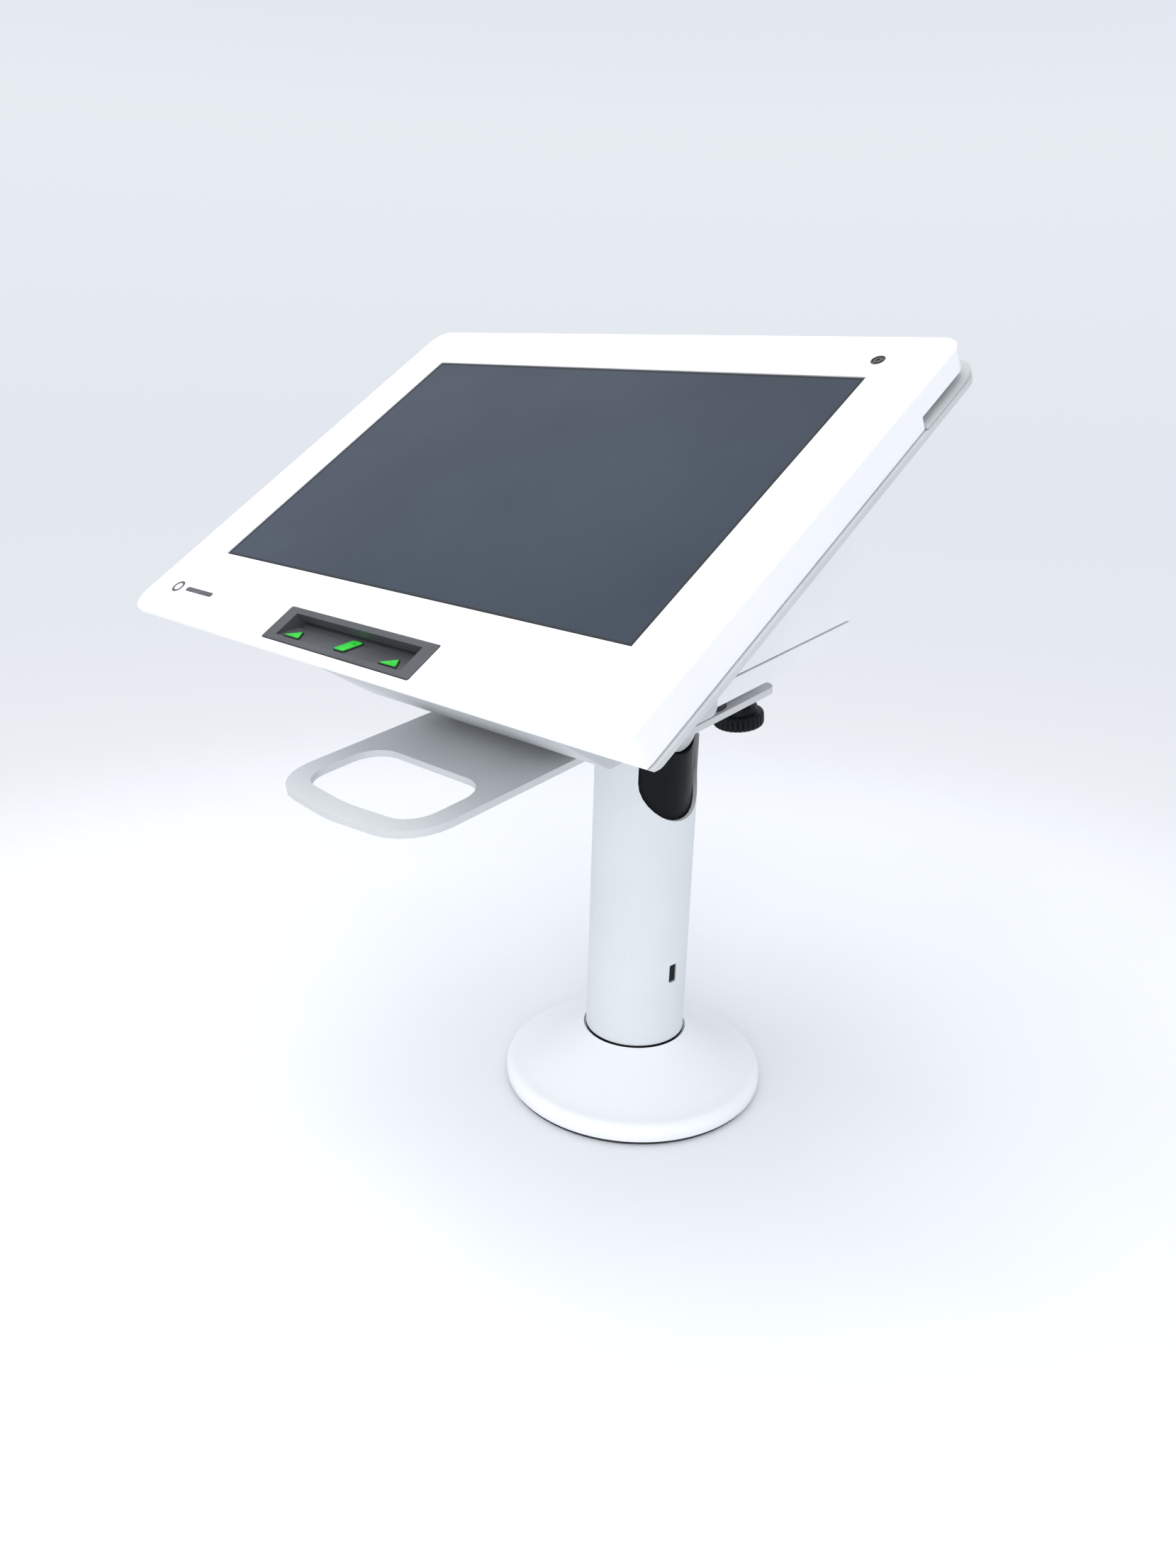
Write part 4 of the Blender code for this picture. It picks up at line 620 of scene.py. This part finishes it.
def make_camera():
    """The view from the front right, a little above the panel."""
    camera = bpy.data.cameras.new("view")
    camera.sensor_fit = "VERTICAL"
    camera.sensor_height = 36.0
    camera.lens = CAMERA_LENS
    camera.clip_start = 0.01
    holder = bpy.data.objects.new("view", camera)
    turn = Matrix.Rotation(math.radians(CAMERA_TURN), 4, "Z")
    fall = Matrix.Rotation(math.radians(90 - CAMERA_FALL), 4, "X")
    roll = Matrix.Rotation(math.radians(CAMERA_ROLL), 4, "Z")
    holder.matrix_world = Matrix.Translation(CAMERA_AT) @ turn @ fall @ roll
    bpy.context.scene.collection.objects.link(holder)
    bpy.context.scene.camera = holder


def make_light(name, at, aim, size, power, colour):
    """A round soft lamp at one place, facing another."""
    lamp = bpy.data.lights.new(name, "AREA")
    lamp.shape = "DISK"
    lamp.size = size
    lamp.energy = power
    lamp.color = colour
    holder = bpy.data.objects.new(name, lamp)
    back = np.array(at) - np.array(aim)
    back /= np.linalg.norm(back)
    side = np.cross((0.0, 1.0, 0.0) if abs(back[2]) > 0.9 else (0.0, 0.0, 1.0), back)
    side /= np.linalg.norm(side)
    up = np.cross(back, side)
    facing = Matrix(np.stack((side, up, back), axis=-1).tolist()).to_4x4()
    holder.matrix_world = Matrix.Translation(at) @ facing
    bpy.context.scene.collection.objects.link(holder)


def make_floor():
    """A round floor, flat just below the part's lowest point, that thins out to nothing between two radii."""
    radii = np.array(FLOOR_RADII)
    points = turned(np.stack((radii, np.full(len(radii), cad_low.z - FLOOR_GAP)), axis=-1), 96)
    mesh = bpy.data.meshes.new("floor")
    rounds, steps = points.shape[:2]
    index = np.arange(rounds * steps).reshape(rounds, steps)
    after = np.roll(index, -1, axis=0)
    quads = np.stack((index[:, :-1], index[:, 1:], after[:, 1:], after[:, :-1]), axis=-1).reshape(-1, 4)
    mesh.from_pydata(points.reshape(-1, 3).tolist(), [], quads.tolist())
    finish = Finish("white floor", (0.90, 0.91, 0.925), 0.62).clouds(6, (0.88, 0.89, 0.915))
    finish.smudges(9, 0.05).grain(900, 0.05, 0.00003)
    nodes, links = finish.nodes, finish.links
    length = nodes.new("ShaderNodeVectorMath")
    length.operation = "LENGTH"
    links.new(finish.place, length.inputs[0])
    faded = finish.span(length.outputs["Value"], *FLOOR_FADE, 0.0, 1.0)
    faded.node.interpolation_type = "SMOOTHERSTEP"
    clear = nodes.new("ShaderNodeBsdfTransparent")
    mix = nodes.new("ShaderNodeMixShader")
    links.new(faded, mix.inputs["Fac"])
    links.new(finish.surface.outputs["BSDF"], mix.inputs[1])
    links.new(clear.outputs["BSDF"], mix.inputs[2])
    links.new(mix.outputs["Shader"], nodes["Material Output"].inputs["Surface"])
    mesh.materials.append(finish.material)
    floor = bpy.data.objects.new("floor", mesh)
    bpy.context.scene.collection.objects.link(floor)


def make_world():
    """A pale sky: bluish white overhead, a little darker towards the horizon, white below it."""
    world = bpy.data.worlds.new("studio")
    bpy.context.scene.world = world
    world.use_nodes = True
    nodes, links = world.node_tree.nodes, world.node_tree.links
    place = nodes.new("ShaderNodeTexCoord")
    parts = nodes.new("ShaderNodeSeparateXYZ")
    ramp = nodes.new("ShaderNodeValToRGB")
    span = nodes.new("ShaderNodeMapRange")
    span.inputs["From Min"].default_value = -1.0
    span.inputs["From Max"].default_value = 1.0
    links.new(place.outputs["Generated"], parts.inputs["Vector"])
    links.new(parts.outputs["Z"], span.inputs["Value"])
    links.new(span.outputs["Result"], ramp.inputs["Fac"])
    stops = ramp.color_ramp.elements
    stops.remove(stops[1])
    stops[0].position, stops[0].color = SKY[0][0], (*SKY[0][1], 1.0)
    for where, colour in SKY[1:]:
        stops.new(where).color = (*colour, 1.0)
    links.new(ramp.outputs["Color"], nodes["Background"].inputs["Color"])
    nodes["Background"].inputs["Strength"].default_value = SKY_STRENGTH


# ---------------------------------------------------------------- whole object

EDGES = {
    "front_casing": 0.00050, "rear_shell": 0.00045, "swipe_liner": 0.00035, "front_pod": 0.00040,
    "rear_housing": 0.00040, "bottom_tray": 0.00035, "mount_plate": 0.00035, "paper_lid": 0.00035,
    "card_reader_trim": 0.00018, "pole": 0.00030, "swivel_sleeve": 0.00040, "tilt_head": 0.00050,
    "touch_glass": 0.00008, "light_arrow_left": 0.00006, "light_arrow_right": 0.00006, "light_card": 0.00006,
    "camera_lens": 0.00010, "latch_tab": 0.00025, "lid_button": 0.00035, "power_button": 0.00015,
    "port_block": 0.00020, "base_pad": 0.00020, "base_plate": 0.00030, "printer_frame": 0.00025,
    "paper_roll": 0.00020, "platen_roller": 0.00025, "tear_bar": 0.00015, "print_head": 0.00020,
    "support_collar": 0.00025, "tilt_pin": 0.00030, "stepper_motor": 0.00030, "speaker": 0.00030,
    "card_reader_module": 0.00030, "main_board": 0.00010,
}
MADE_ANEW = ("base_cover", "thumb_knob_left", "thumb_knob_right")

for node in NODES:
    if node in MADE_ANEW:
        continue
    if node in EDGES:
        refined(node, EDGES[node])
    else:
        materials = NODES[node].data.materials
        materials.clear()
        materials.append(FINISHES[SLOT_OF[node]].material)

make_base_cover()
make_knob("left")
make_knob("right")
make_pole_seal()
make_screen_border()
make_bezel_mark()
make_camera_rings()
make_reader_mark_shade()
make_reader_gap_shade()

make_camera()
make_world()
for light in LIGHTS:
    make_light(*light)
make_floor()
bpy.context.scene.view_settings.view_transform = "Standard"
